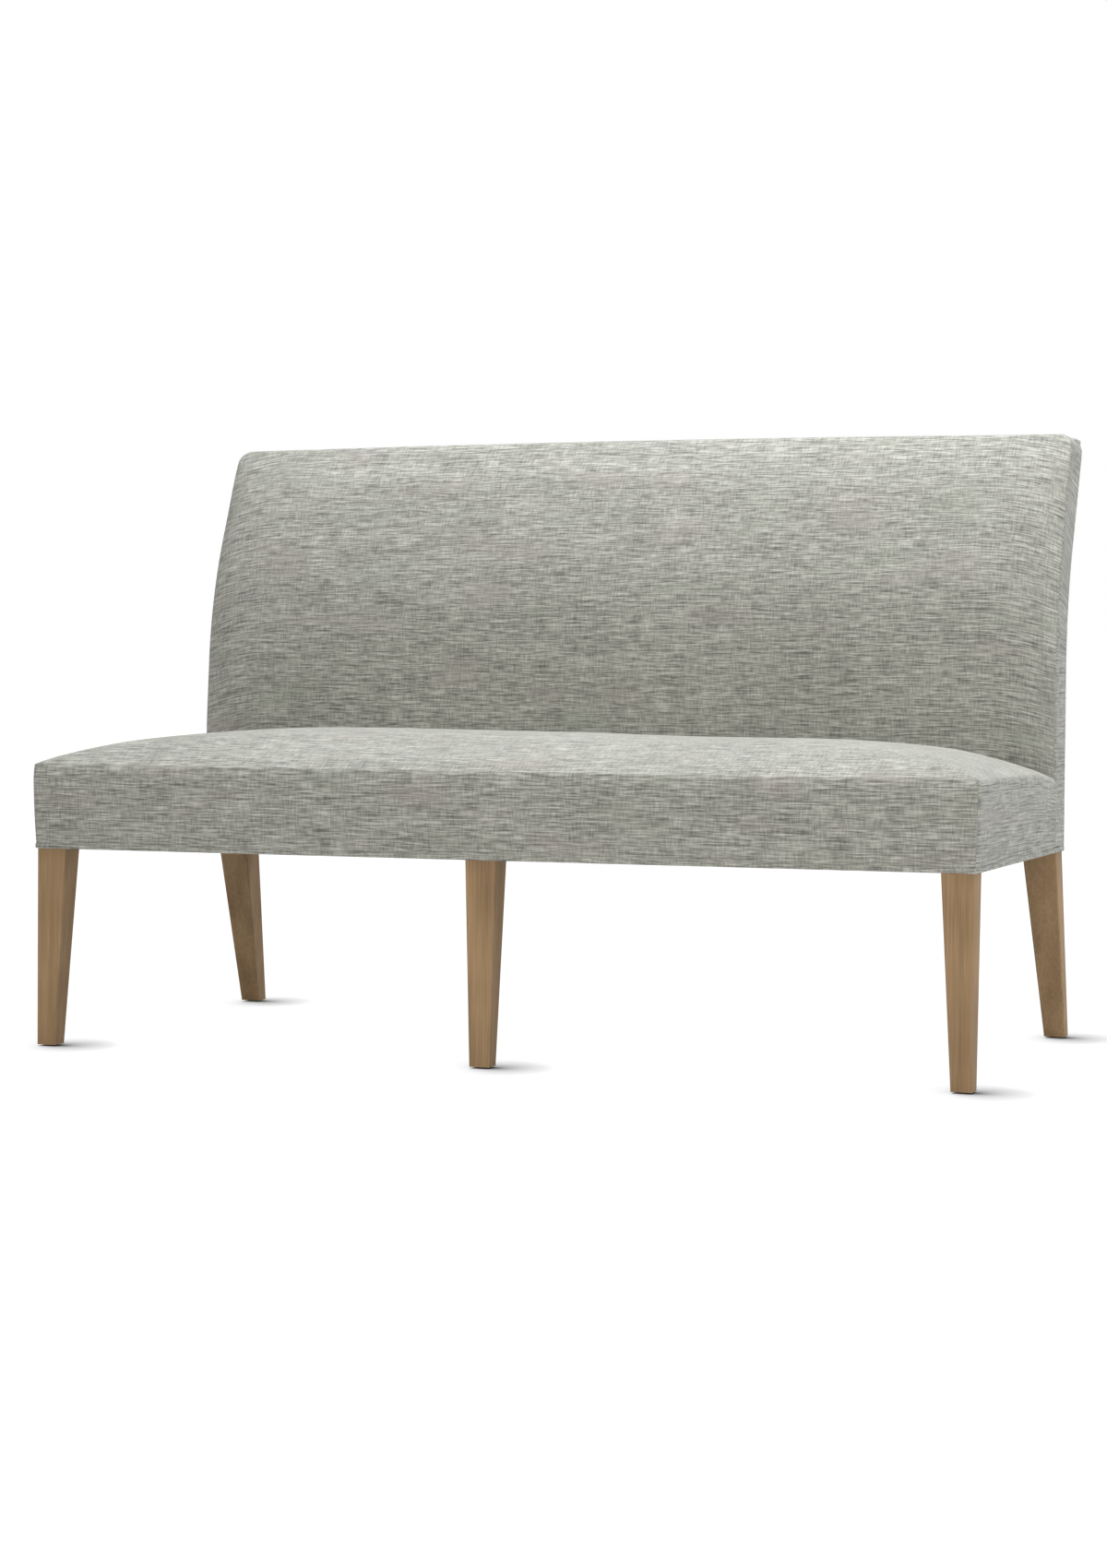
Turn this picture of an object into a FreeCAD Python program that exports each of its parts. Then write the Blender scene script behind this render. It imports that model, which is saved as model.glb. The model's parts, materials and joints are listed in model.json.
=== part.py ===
import FreeCAD, Part
import math
import os

import Sketcher
from FreeCAD import Vector

# Driving dimensions, in millimetres and degrees
SIZES = {
    # The bench as a whole
    "width": 1478,
    "height": 976,
    "seat_depth": 598,
    "back_thickness": 96,
    "leg_height": 306,
    # Seat upholstery
    "border_height": 122,
    "seat_crown": 57,
    "crown_run_side": 460,
    "crown_run_front": 300,
    "seat_corner": 12,
    "crown_corner": 130,
    "draw_in": 4,
    "welt_height": 8,
    "welt_proud": 0.5,
    "welt_corner": 8,
    "welt_chamfer": 1.8,
    # Back upholstery
    "bend_height": 590,
    "lean_angle": 26,
    "lean_run": 159.2,
    "back_crown": 8,
    "back_crown_run": 160,
    "top_corner": 24,
    "top_round": 28,
    "rear_round": 8,
    "side_round": 6,
    # Layers of cloth and filling
    "cover": 1.6,
    "wadding": 1.8,
    "soft_gap": 0.3,
    "hessian": 1,
    "hessian_margin": 5,
    "dust_cloth": 0.8,
    "dust_margin": 6,
    "webbing": 2,
    "webbing_width": 50,
    "webbing_margin": 5,
    "cross_straps": 9,
    "long_straps": 3,
    "back_straps": 4,
    # Legs and posts
    "leg_top": 48,
    "leg_foot": 31,
    "leg_ease": 1.8,
    "post_width": 54,
    "post_depth": 54,
    "post_foot_width": 34,
    "post_foot_depth": 30,
    "post_rake": 79,
    "post_taper": 40,
    "post_corner": 30,
    "back_frame_depth": 42,
    "glide_width": 20,
    "glide_height": 2.5,
    # Rails and their joints
    "rail_thickness": 25,
    "rail_height": 90,
    "rail_rise": 4,
    "tenon_thickness": 10,
    "tenon_length": 22,
    "tenon_height": 60,
    "joint_gap": 0.1,
    "stretcher_height": 60,
    "stretcher_drop": 20,
    "stretcher_spacing": 490,
    "stub_length": 12,
    "stub_height": 36,
    "stub_width": 28,
    "lower_rail_rise": 70,
    "lower_rail_height": 60,
    "top_rail_height": 60,
    "back_tenon_height": 40,
    "back_rail_thickness": 25,
    "stile_width": 45,
    # Corner blocks and the middle leg's bolts
    "block_width": 52,
    "block_height": 40,
    "block_rise": 25,
    "block_gap": 0.5,
    "tongue_height": 78,
    "bolt_shank": 8,
    "bolt_head": 18,
    "bolt_head_height": 4,
    "bolt_low": 22,
    "bolt_spacing": 34,
    "bolt_tip": 3,
    "nut_width": 13,
    "nut_height": 6.5,
}

doc = FreeCAD.newDocument("dining_banquette")
sheet = doc.addObject("Spreadsheet::Sheet", "size")
for row, (alias, number) in enumerate(SIZES.items(), start=1):
    sheet.set(f"A{row}", alias)
    sheet.set(f"B{row}", str(number))
    sheet.setAlias(f"B{row}", alias)
doc.recompute()

# Places that several pieces share, as expressions on the sheet
SIN = "sin(size.lean_angle)"
COS = "cos(size.lean_angle)"
SIDE = "(size.width / 2 - size.draw_in)"
INSET = "(size.cover + size.wadding + 2 * size.soft_gap)"
FRAME_SIDE = f"({SIDE} - {INSET})"
FRONT_BEND = f"((size.height - size.bend_height - size.lean_run * {COS}) / {SIN})"
REAR_BEND = f"({FRONT_BEND} - size.back_crown - size.back_thickness)"
LEAN_BEND = f"({REAR_BEND} * (1 - {COS}))"
# The rear of the back runs further up than the front, so that its top is level
REAR_RISE = f"((size.back_thickness + size.back_crown) * {SIN} / {COS})"
REAR_EASE = f"(size.rear_round * ((1 + {SIN}) / {COS} - 1))"
BACK_LEAN = f"({LEAN_BEND} + (size.lean_run + {REAR_RISE}) * {SIN} - {REAR_EASE})"
FRONT = f"(-(size.seat_depth + size.back_thickness + {BACK_LEAN}) / 2)"
FRAME_FRONT = f"({FRONT} + size.draw_in + {INSET})"
BACK_FRONT = f"({FRONT} + size.seat_depth)"
BACK_REAR = f"({BACK_FRONT} + size.back_thickness)"
FRAME_REAR = f"({BACK_REAR} - {INSET})"
RAIL_BOTTOM = "(size.leg_height + size.rail_rise)"
RAIL_TOP = f"({RAIL_BOTTOM} + size.rail_height)"
COVER_FOOT = "(size.leg_height + size.welt_height)"
SEAT_EDGE = "(size.leg_height + size.border_height)"
DECK = f"({RAIL_TOP} + 2 * size.webbing + 2 * size.soft_gap)"
DECK_TOP = f"({DECK} + size.hessian)"
LOWER_RAIL = f"({RAIL_TOP} + size.lower_rail_rise)"
LOWER_RAIL_TOP = f"({LOWER_RAIL} + size.lower_rail_height)"
SIDE_RAIL_SPAN = f"({FRAME_REAR} - size.post_depth - {FRAME_FRONT} - size.leg_top)"
# The back frame's bend, measured from its rear face
FRAME_BEND = f"({REAR_BEND} + {INSET})"
FRAME_RUN = f"(size.lean_run - {INSET})"
BACK_RAIL_MIDDLE = "(size.back_frame_depth - size.back_rail_thickness / 2)"
# Edges nearer than this to a plane lie in it
TOUCH = 0.001


def value(expression):
    """The number that an expression on the sheet comes to."""
    return float(sheet.evalExpression(expression))


def lean_point(forward, along):
    """A point of the leaning part of the back frame: forward of its rear face, along from the bend."""
    y = f"({FRAME_BEND} - ({FRAME_BEND} + {forward}) * {COS} + ({along}) * {SIN})"
    z = f"(size.bend_height + ({FRAME_BEND} + {forward}) * {SIN} + ({along}) * {COS})"
    return y, z


# Sketches and features

def new_body(label, x="0", y="0", z="0"):
    """An empty body with its place bound to the sheet."""
    body = doc.addObject("PartDesign::Body", label)
    body.Label = label
    for axis, expression in zip("xyz", (x, y, z)):
        body.setExpression(f"Placement.Base.{axis}", expression)
    return body


def sketch_on(body, role, offset="0"):
    """An empty sketch on one of the body's own planes, moved along the plane's normal."""
    sketch = body.newObject("Sketcher::SketchObject", "sketch")
    plane = next(item for item in body.Origin.OriginFeatures if item.Role == role)
    sketch.AttachmentSupport = (plane, [""])
    sketch.MapMode = "FlatFace"
    sketch.setExpression("AttachmentOffset.Base.z", offset)
    return sketch


def fix_point(sketch, item, point, across, up):
    """Ties a point of a sketch to expressions for its two coordinates."""
    for kind, expression in (("DistanceX", across), ("DistanceY", up)):
        if expression is None:
            continue
        index = sketch.addConstraint(Sketcher.Constraint(kind, item, point, value(expression)))
        sketch.setExpression(f"Constraints[{index}]", expression)


def add_arc(sketch, begin, end, centre):
    """Adds the shorter arc from begin to end; says which of its ends is the beginning."""
    first = math.atan2(begin.y - centre.y, begin.x - centre.x)
    last = math.atan2(end.y - centre.y, end.x - centre.x)
    turn = (last - first + math.pi) % (2 * math.pi) - math.pi
    circle = Part.Circle(centre, Vector(0, 0, 1), (begin - centre).Length)
    if turn > 0:
        sketch.addGeometry(Part.ArcOfCircle(circle, first, first + turn))
        return 1
    sketch.addGeometry(Part.ArcOfCircle(circle, last, last - turn))
    return 2


def outline(sketch, corners):
    """Draws a closed outline. A corner is (across, up), with an arc's centre added where one starts."""
    places = [Vector(value(corner[0]), value(corner[1]), 0) for corner in corners]
    starts = []
    for index, corner in enumerate(corners):
        begin = places[index]
        end = places[(index + 1) % len(places)]
        if len(corner) == 2:
            sketch.addGeometry(Part.LineSegment(begin, end))
            starts.append(1)
        else:
            centre = Vector(value(corner[2]), value(corner[3]), 0)
            starts.append(add_arc(sketch, begin, end, centre))
    for index, start in enumerate(starts):
        after = (index + 1) % len(starts)
        sketch.addConstraint(Sketcher.Constraint("Coincident", index, 3 - start, after, starts[after]))
    for index, corner in enumerate(corners):
        across, up = corner[:2]
        before = corners[index - 1]
        if len(before) == 4:
            steep = abs(value(across) - value(before[2])) >= abs(value(up) - value(before[3]))
            across, up = (None, up) if steep else (across, None)
        fix_point(sketch, index, starts[index], across, up)
        if len(corner) == 4:
            fix_point(sketch, index, 3, corner[2], corner[3])
    return sketch


def rectangle(sketch, left, right, low, high):
    """Draws a rectangle between four expressions."""
    return outline(sketch, [(left, low), (right, low), (right, high), (left, high)])


def eased_rectangle(sketch, left, right, low, high, ease):
    """Draws a rectangle with its corners taken off between four expressions."""
    near, far = f"({left} + {ease})", f"({right} - {ease})"
    lower, upper = f"({low} + {ease})", f"({high} - {ease})"
    return outline(sketch, [
        (near, low), (far, low), (right, lower), (right, upper),
        (far, high), (near, high), (left, upper), (left, lower),
    ])


def circle(sketch, across, up, diameter):
    """Draws a circle tied to expressions."""
    place = Vector(value(across), value(up), 0)
    sketch.addGeometry(Part.Circle(place, Vector(0, 0, 1), value(diameter) / 2))
    fix_point(sketch, 0, 3, across, up)
    index = sketch.addConstraint(Sketcher.Constraint("Diameter", 0, value(diameter)))
    sketch.setExpression(f"Constraints[{index}]", diameter)
    return sketch


def pad(body, sketch, length, both=False, flip=False):
    """Adds material along a sketch's normal."""
    feature = body.newObject("PartDesign::Pad", "pad")
    feature.Profile = sketch
    feature.SideType = "Symmetric" if both else "One side"
    feature.Reversed = flip
    feature.setExpression("Length", length)
    return feature


def pocket(body, sketch, length=None, flip=False):
    """Takes material away against a sketch's normal, or right through where no length is given."""
    doc.recompute()
    before = body.Shape.Volume
    feature = body.newObject("PartDesign::Pocket", "pocket")
    feature.Profile = sketch
    feature.Reversed = flip
    if length is None:
        feature.SideType = "Symmetric"
        feature.Type = "ThroughAll"
    else:
        feature.setExpression("Length", length)
    doc.recompute()
    if not body.Shape.Volume < before:
        raise RuntimeError(f"{body.Label}: a pocket takes nothing away")
    return feature


def loft(body, profile, section):
    """Adds a straight taper between two sketches."""
    feature = body.newObject("PartDesign::AdditiveLoft", "taper")
    feature.Profile = profile
    feature.Sections = [section]
    feature.Ruled = True
    doc.recompute()
    return feature


def dress_edges(body, feature, kind, size, wanted):
    """Gives those edges of a feature that the test picks a Fillet or a Chamfer."""
    doc.recompute()
    names = [f"Edge{i}" for i, edge in enumerate(feature.Shape.Edges, start=1) if wanted(edge.BoundBox)]
    dressing = body.newObject(f"PartDesign::{kind}", kind.lower())
    dressing.Base = (feature, names)
    dressing.setExpression("Radius" if kind == "Fillet" else "Size", size)
    doc.recompute()
    return dressing


def centred(middle, size, gap="0"):
    """The two ends of a length about a middle, each moved out by a gap."""
    return f"({middle} - ({size}) / 2 - {gap})", f"({middle} + ({size}) / 2 + {gap})"


def solid_piece(label, shape):
    """A sub-part whose shape comes from sections or copies."""
    piece = doc.addObject("Part::Feature", label)
    piece.Label = label
    piece.Shape = shape
    piece.Placement = FreeCAD.Placement()
    return piece


pieces = []
RAIL_MIDDLE = f"({RAIL_BOTTOM} + size.rail_height / 2)"


# Front legs: square above, tapered on their inner faces below

def leg_taper(body, foot, shoulder):
    """The part of a leg that shows; its ends are given by their left, right, front and rear edges."""
    ends = []
    for edges, height in ((foot, "size.glide_height"), (shoulder, RAIL_BOTTOM)):
        ends.append(eased_rectangle(sketch_on(body, "XY_Plane", height), *edges, "size.leg_ease"))
    loft(body, *ends)


def inward_span(side, width):
    """The left and right edges of a width that reaches inwards from a side's outer face."""
    return ("0", width) if side < 0 else (f"-{width}", "0")


def corner_leg(label, side):
    """A front corner leg, from its outer front corner; side is -1 for left and 1 for right."""
    body = new_body(label, f"{side} * {FRAME_SIDE}", FRAME_FRONT)
    foot = (*inward_span(side, "size.leg_foot"), "0", "size.leg_foot")
    shoulder = (*inward_span(side, "size.leg_top"), "0", "size.leg_top")
    leg_taper(body, foot, shoulder)
    stump = rectangle(sketch_on(body, "XY_Plane", RAIL_BOTTOM), *shoulder)
    pad(body, stump, "size.rail_height")
    low, high = centred(RAIL_MIDDLE, "size.tenon_height", "size.joint_gap")
    near, far = centred("size.rail_thickness / 2", "size.tenon_thickness", "size.joint_gap")
    front_mortise = sketch_on(body, "YZ_Plane", f"{-side} * size.leg_top")
    rectangle(front_mortise, near, far, low, high)
    pocket(body, front_mortise, "size.tenon_length + size.joint_gap", flip=side > 0)
    side_mortise = sketch_on(body, "XZ_Plane", "-size.leg_top")
    rectangle(side_mortise, f"{-side} * {near}", f"{-side} * {far}", low, high)
    pocket(body, side_mortise, "size.tenon_length + size.joint_gap", flip=True)
    return body


def centre_leg(label):
    """The middle front leg, from its front face; a tongue stands up behind the front rail."""
    body = new_body(label, "0", FRAME_FRONT)
    foot = (*centred("0", "size.leg_foot"), "0", "size.leg_foot")
    shoulder = (*centred("0", "size.leg_top"), "0", "size.leg_top")
    leg_taper(body, foot, shoulder)
    tongue = sketch_on(body, "XY_Plane", RAIL_BOTTOM)
    rectangle(tongue, "-size.leg_top / 2", "size.leg_top / 2", "size.rail_thickness", "size.leg_top")
    pad(body, tongue, "size.tongue_height")
    for index in range(2):
        bolt_hole(body, RAIL_BOTTOM, index)
    return body


def bolt_hole(body, bottom, index):
    """Drills for one of the two bolts that hold the middle leg, above the rail's lower edge."""
    height = f"{bottom} + size.bolt_low + {index} * size.bolt_spacing"
    hole = circle(sketch_on(body, "XZ_Plane"), "0", height, "size.bolt_shank + 2 * size.joint_gap")
    pocket(body, hole)


# Rear posts: a raked leg and a bent back upright sawn from one plank

def rear_post(label, side):
    """A rear post, from its outer face, the rear face of the seat frame and the floor."""
    body = new_body(label, f"{side} * {FRAME_SIDE}", FRAME_REAR)
    depth = "size.back_frame_depth"
    foot_edges = ("size.post_rake - size.post_foot_depth", "size.post_rake")
    foot = (*inward_span(side, "size.post_foot_width"), *foot_edges)
    leg_taper(body, foot, (*inward_span(side, "size.post_width"), "-size.post_depth", "0"))
    profile = [
        ("0", RAIL_BOTTOM),
        ("0", "size.bend_height", FRAME_BEND, "size.bend_height"),
        lean_point("0", "0"),
        lean_point("0", f"({FRAME_RUN} - size.rear_round)"),
        lean_point("size.rear_round", FRAME_RUN),
        lean_point(depth, FRAME_RUN),
        lean_point(depth, "0") + (FRAME_BEND, "size.bend_height"),
        (f"-{depth}", "size.bend_height"),
        (f"-{depth}", f"{RAIL_TOP} + size.post_taper"),
        ("-size.post_depth", RAIL_TOP),
        ("-size.post_depth", RAIL_BOTTOM),
    ]
    plank = pad(body, outline(sketch_on(body, "YZ_Plane"), profile), "size.post_width", flip=side > 0)
    crest = value(lean_point("0", FRAME_RUN)[1])

    def is_outer_crest(box):
        return max(-box.XMin, box.XMax) < TOUCH and box.ZMin > crest - TOUCH

    dress_edges(body, plank, "Fillet", "size.post_corner", is_outer_crest)
    depth_of_joint = "size.tenon_length + size.joint_gap"
    low, high = centred(RAIL_MIDDLE, "size.tenon_height", "size.joint_gap")
    near, far = centred("size.rail_thickness / 2", "size.tenon_thickness", "size.joint_gap")
    side_mortise = sketch_on(body, "XZ_Plane", "size.post_depth")
    rectangle(side_mortise, f"{-side} * {near}", f"{-side} * {far}", low, high)
    pocket(body, side_mortise, depth_of_joint)
    inner = f"{-side} * size.post_width"
    rear_mortise = rectangle(sketch_on(body, "YZ_Plane", inner), f"-{far}", f"-{near}", low, high)
    pocket(body, rear_mortise, depth_of_joint, flip=side > 0)
    lower_mortise = sketch_on(body, "YZ_Plane", inner)
    rectangle(lower_mortise, *back_tenon_depth("size.joint_gap"), *lower_tenon_height("size.joint_gap"))
    pocket(body, lower_mortise, depth_of_joint, flip=side > 0)
    top_mortise = outline(sketch_on(body, "YZ_Plane", inner), top_tenon("size.joint_gap"))
    pocket(body, top_mortise, depth_of_joint, flip=side > 0)
    return body


def back_tenon_depth(gap="0"):
    """How far the back rails' tenons lie from the frame's rear face, front side first."""
    return centred(f"(-{BACK_RAIL_MIDDLE})", "size.tenon_thickness", gap)


def lower_tenon_height(gap="0"):
    """The lower and upper edges of the lower back rail's tenons."""
    return centred(f"({LOWER_RAIL} + size.lower_rail_height / 2)", "size.back_tenon_height", gap)


def top_tenon(gap="0"):
    """The corners of the top rail's tenons, which lean with the back."""
    back, fore = centred(BACK_RAIL_MIDDLE, "size.tenon_thickness", gap)
    low, high = centred(f"({FRAME_RUN} - size.top_rail_height / 2)", "size.back_tenon_height", gap)
    return [lean_point(back, low), lean_point(back, high), lean_point(fore, high), lean_point(fore, low)]


# Seat rails, tenoned into the legs and posts

def front_rail(label):
    """The front rail, from the middle of its front lower edge."""
    body = new_body(label, "0", FRAME_FRONT, RAIL_BOTTOM)
    span = f"2 * ({FRAME_SIDE} - size.leg_top)"
    cross_rail(body, span, "0", "size.rail_thickness")
    stretcher_mortises(body, "-size.rail_thickness", flip=True)
    for index in range(2):
        bolt_hole(body, "0", index)
        height = f"size.bolt_low + {index} * size.bolt_spacing"
        seat = circle(sketch_on(body, "XZ_Plane"), "0", height, "size.bolt_head + 4 * size.joint_gap")
        pocket(body, seat, "size.bolt_head_height + size.joint_gap")
    return body


def rear_rail(label):
    """The rear rail, from the middle of its rear lower edge."""
    body = new_body(label, "0", FRAME_REAR, RAIL_BOTTOM)
    span = f"2 * ({FRAME_SIDE} - size.post_width)"
    cross_rail(body, span, "-size.rail_thickness", "0")
    stretcher_mortises(body, "size.rail_thickness", flip=False)
    return body


def cross_rail(body, span, fore, aft):
    """A rail across the bench with a tenon at each end."""
    pad(body, rectangle(sketch_on(body, "YZ_Plane"), fore, aft, "0", "size.rail_height"), span, both=True)
    near, far = centred(f"({fore} + {aft}) / 2", "size.tenon_thickness")
    low, high = centred("size.rail_height / 2", "size.tenon_height")
    tenons = rectangle(sketch_on(body, "YZ_Plane"), near, far, low, high)
    pad(body, tenons, f"{span} + 2 * size.tenon_length", both=True)


def stretcher_mortises(body, offset, flip):
    """Cuts the stub mortises that take the two stretchers."""
    middle = "(size.rail_height - size.stretcher_drop - size.stretcher_height / 2)"
    low, high = centred(middle, "size.stub_height", "size.joint_gap")
    for side in (-1, 1):
        place = f"{side} * size.stretcher_spacing / 2"
        left, right = centred(place, "size.tenon_thickness", "size.joint_gap")
        mortise = rectangle(sketch_on(body, "XZ_Plane", offset), left, right, low, high)
        pocket(body, mortise, "size.stub_length + size.joint_gap", flip=flip)


def side_rail(label, side):
    """A side rail, from its outer lower edge at the front leg."""
    body = new_body(label, f"{side} * {FRAME_SIDE}", f"{FRAME_FRONT} + size.leg_top", RAIL_BOTTOM)
    section = sketch_on(body, "XZ_Plane")
    rectangle(section, "0", f"{-side} * size.rail_thickness", "0", "size.rail_height")
    pad(body, section, SIDE_RAIL_SPAN, flip=True)
    near, far = centred("size.rail_thickness / 2", "size.tenon_thickness")
    low, high = centred("size.rail_height / 2", "size.tenon_height")
    tenons = sketch_on(body, "XZ_Plane", "size.tenon_length")
    rectangle(tenons, f"{-side} * {near}", f"{-side} * {far}", low, high)
    pad(body, tenons, f"{SIDE_RAIL_SPAN} + 2 * size.tenon_length", flip=True)
    return body


def stretcher(label, side):
    """A stretcher from the front rail to the rear rail, from the middle of its lower front edge."""
    place = f"{side} * size.stretcher_spacing / 2"
    front = f"{FRAME_FRONT} + size.rail_thickness"
    bottom = f"{RAIL_TOP} - size.stretcher_drop - size.stretcher_height"
    body = new_body(label, place, front, bottom)
    span = f"({FRAME_REAR} - {FRAME_FRONT} - 2 * size.rail_thickness)"
    left, right = centred("0", "size.rail_thickness")
    section = rectangle(sketch_on(body, "XZ_Plane"), left, right, "0", "size.stretcher_height")
    pad(body, section, span, flip=True)
    left, right = centred("0", "size.tenon_thickness")
    low, high = centred("size.stretcher_height / 2", "size.stub_height")
    stubs = rectangle(sketch_on(body, "XZ_Plane", "size.stub_length"), left, right, low, high)
    pad(body, stubs, f"{span} + 2 * size.stub_length", flip=True)
    return body


# Corner blocks: each fills the angle behind a leg and is glued to both rails

FRONT_BLOCK = "(2 * (size.leg_top - size.rail_thickness) + size.block_gap)"
REAR_BLOCK = "(size.post_width + size.post_depth - 2 * size.rail_thickness + size.block_gap)"
BLOCK_PLACES = {
    "front_left_corner_block": (-1, 1),
    "front_right_corner_block": (1, 1),
    "rear_left_corner_block": (-1, -1),
    "rear_right_corner_block": (1, -1),
}


def block_corner(side, inward):
    """Where the inner faces of two rails meet, as expressions."""
    x = f"({side} * ({FRAME_SIDE} - size.rail_thickness))"
    if inward > 0:
        return x, f"({FRAME_FRONT} + size.rail_thickness)"
    return x, f"({FRAME_REAR} - size.rail_thickness)"


def corner_block(label, side, inward):
    """A corner block, from the inner corner of its rails; inward is 1 at the front and -1 at the rear."""
    x, y = block_corner(side, inward)
    body = new_body(label, x, y, f"{RAIL_BOTTOM} + size.block_rise")
    near = FRONT_BLOCK if inward > 0 else REAR_BLOCK
    far = f"({near} + size.block_width)"
    plan = outline(sketch_on(body, "XY_Plane"), [
        (f"{-side} * {near}", "0"),
        (f"{-side} * {far}", "0"),
        ("0", f"{inward} * {far}"),
        ("0", f"{inward} * {near}"),
    ])
    pad(body, plan, "size.block_height")
    return body


def headed_pin(direction, shank, length, head, head_height, seat):
    """A pin along a direction: its head's underside is at the seat and its shank goes on from there."""
    stem = Part.makeCylinder(value(shank) / 2, value(length), seat, direction)
    cap = Part.makeCylinder(value(head) / 2, value(head_height), seat, -direction)
    return stem.fuse(cap).removeSplitter()


def bolt_height(index):
    """The height of one of the middle leg's bolts above the floor."""
    return value(f"{RAIL_BOTTOM} + size.bolt_low + {index} * size.bolt_spacing")


def leg_bolts(label):
    """The two bolts through the front rail and the middle leg's tongue."""
    length = "size.leg_top - size.bolt_head_height + size.nut_height + size.bolt_tip"
    seat_y = value(f"{FRAME_FRONT} + size.bolt_head_height")
    bolts = [
        headed_pin(Vector(0, 1, 0), "size.bolt_shank", length, "size.bolt_head", "size.bolt_head_height",
                   Vector(0, seat_y, bolt_height(index)))
        for index in range(2)
    ]
    return solid_piece(label, Part.makeCompound(bolts))


def bored(blank, place):
    """A nut with its hole round a bolt."""
    bore = value("size.bolt_shank / 2 + size.joint_gap")
    hole = Part.makeCylinder(bore, value("size.leg_top"), place - Vector(0, bore, 0), Vector(0, 1, 0))
    return blank.cut(hole)


def leg_nuts(label):
    """A six-sided nut on each bolt, behind the tongue."""
    nuts = []
    backward = Vector(0, 1, 0)
    turns = [math.radians(60 * turn) for turn in range(7)]
    reach = value("size.nut_width / 2") / math.cos(math.radians(30))
    for index in range(2):
        seat = Vector(0, value(f"{FRAME_FRONT} + size.leg_top"), bolt_height(index))
        corners = [seat + Vector(math.cos(turn), 0, math.sin(turn)) * reach for turn in turns]
        nut = Part.Face(Part.makePolygon(corners)).extrude(backward * value("size.nut_height"))
        nuts.append(bored(nut, seat))
    return solid_piece(label, Part.makeCompound(nuts))


# Back rails and stile

def lower_back_rail(label):
    """The lower back rail between the posts, from the rear face of the frame and the floor."""
    body = new_body(label, "0", FRAME_REAR)
    span = f"2 * ({FRAME_SIDE} - size.post_width)"
    fore = "-size.back_frame_depth"
    aft = "(size.back_rail_thickness - size.back_frame_depth)"
    section = rectangle(sketch_on(body, "YZ_Plane"), fore, aft, LOWER_RAIL, LOWER_RAIL_TOP)
    pad(body, section, span, both=True)
    tenons = rectangle(sketch_on(body, "YZ_Plane"), *back_tenon_depth(), *lower_tenon_height())
    pad(body, tenons, f"{span} + 2 * size.tenon_length", both=True)
    left, right = centred("0", "size.stub_width", "size.joint_gap")
    mortise = sketch_on(body, "XY_Plane", LOWER_RAIL_TOP)
    rectangle(mortise, left, right, *back_tenon_depth("size.joint_gap"))
    pocket(body, mortise, "size.stub_length + size.joint_gap")
    return body


def stile_stub(gap="0"):
    """The corners of the stile's upper stub, which leans with the back."""
    back, fore = centred(BACK_RAIL_MIDDLE, "size.tenon_thickness", gap)
    low = f"({FRAME_RUN} - size.top_rail_height)"
    high = f"({low} + size.stub_length + {gap})"
    return [lean_point(back, low), lean_point(back, high), lean_point(fore, high), lean_point(fore, low)]


def top_back_rail(label):
    """The top rail between the posts, which leans with the back."""
    body = new_body(label, "0", FRAME_REAR)
    span = f"2 * ({FRAME_SIDE} - size.post_width)"
    back = "(size.back_frame_depth - size.back_rail_thickness)"
    fore = "size.back_frame_depth"
    low = f"({FRAME_RUN} - size.top_rail_height)"
    corners = [
        lean_point(back, low), lean_point(back, FRAME_RUN),
        lean_point(fore, FRAME_RUN), lean_point(fore, low),
    ]
    pad(body, outline(sketch_on(body, "YZ_Plane"), corners), span, both=True)
    tenons = outline(sketch_on(body, "YZ_Plane"), top_tenon())
    pad(body, tenons, f"{span} + 2 * size.tenon_length", both=True)
    half = "(size.stub_width / 2 + size.joint_gap)"
    mortise = outline(sketch_on(body, "YZ_Plane", f"-{half}"), stile_stub("size.joint_gap"))
    pocket(body, mortise, f"2 * {half}", flip=True)
    return body


def back_stile(label):
    """The middle upright of the back, bent like the posts, with a stub at each end."""
    body = new_body(label, "0", FRAME_REAR)
    depth = "size.back_frame_depth"
    top = f"({FRAME_RUN} - size.top_rail_height)"
    profile = [
        ("0", LOWER_RAIL_TOP),
        ("0", "size.bend_height", FRAME_BEND, "size.bend_height"),
        lean_point("0", "0"),
        lean_point("0", top),
        lean_point(depth, top),
        lean_point(depth, "0") + (FRAME_BEND, "size.bend_height"),
        (f"-{depth}", "size.bend_height"),
        (f"-{depth}", LOWER_RAIL_TOP),
    ]
    pad(body, outline(sketch_on(body, "YZ_Plane"), profile), "size.stile_width", both=True)
    lower = sketch_on(body, "YZ_Plane")
    rectangle(lower, *back_tenon_depth(), f"{LOWER_RAIL_TOP} - size.stub_length", LOWER_RAIL_TOP)
    pad(body, lower, "size.stub_width", both=True)
    pad(body, outline(sketch_on(body, "YZ_Plane"), stile_stub()), "size.stub_width", both=True)
    return body


# Webbing and flat cloths

def spread(count, low, high):
    """Places evenly spread between two edges."""
    return [low + (high - low) * (index + 1) / (count + 1) for index in range(count)]


def cross_places():
    """The places of the seat straps that run from front to back."""
    clear = value(f"{FRAME_SIDE} - size.rail_thickness")
    return spread(int(value("size.cross_straps")), -clear, clear)


def cross_webbing(label):
    """The seat straps that run from the front rail to the rear rail."""
    margin = value("size.webbing_margin")
    wide = value("size.webbing_width")
    begin = value(FRAME_FRONT) + margin
    length = value(FRAME_REAR) - margin - begin
    straps = [
        Part.makeBox(wide, length, value("size.webbing"), Vector(x - wide / 2, begin, value(RAIL_TOP)))
        for x in cross_places()
    ]
    return solid_piece(label, Part.makeCompound(straps))


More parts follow.
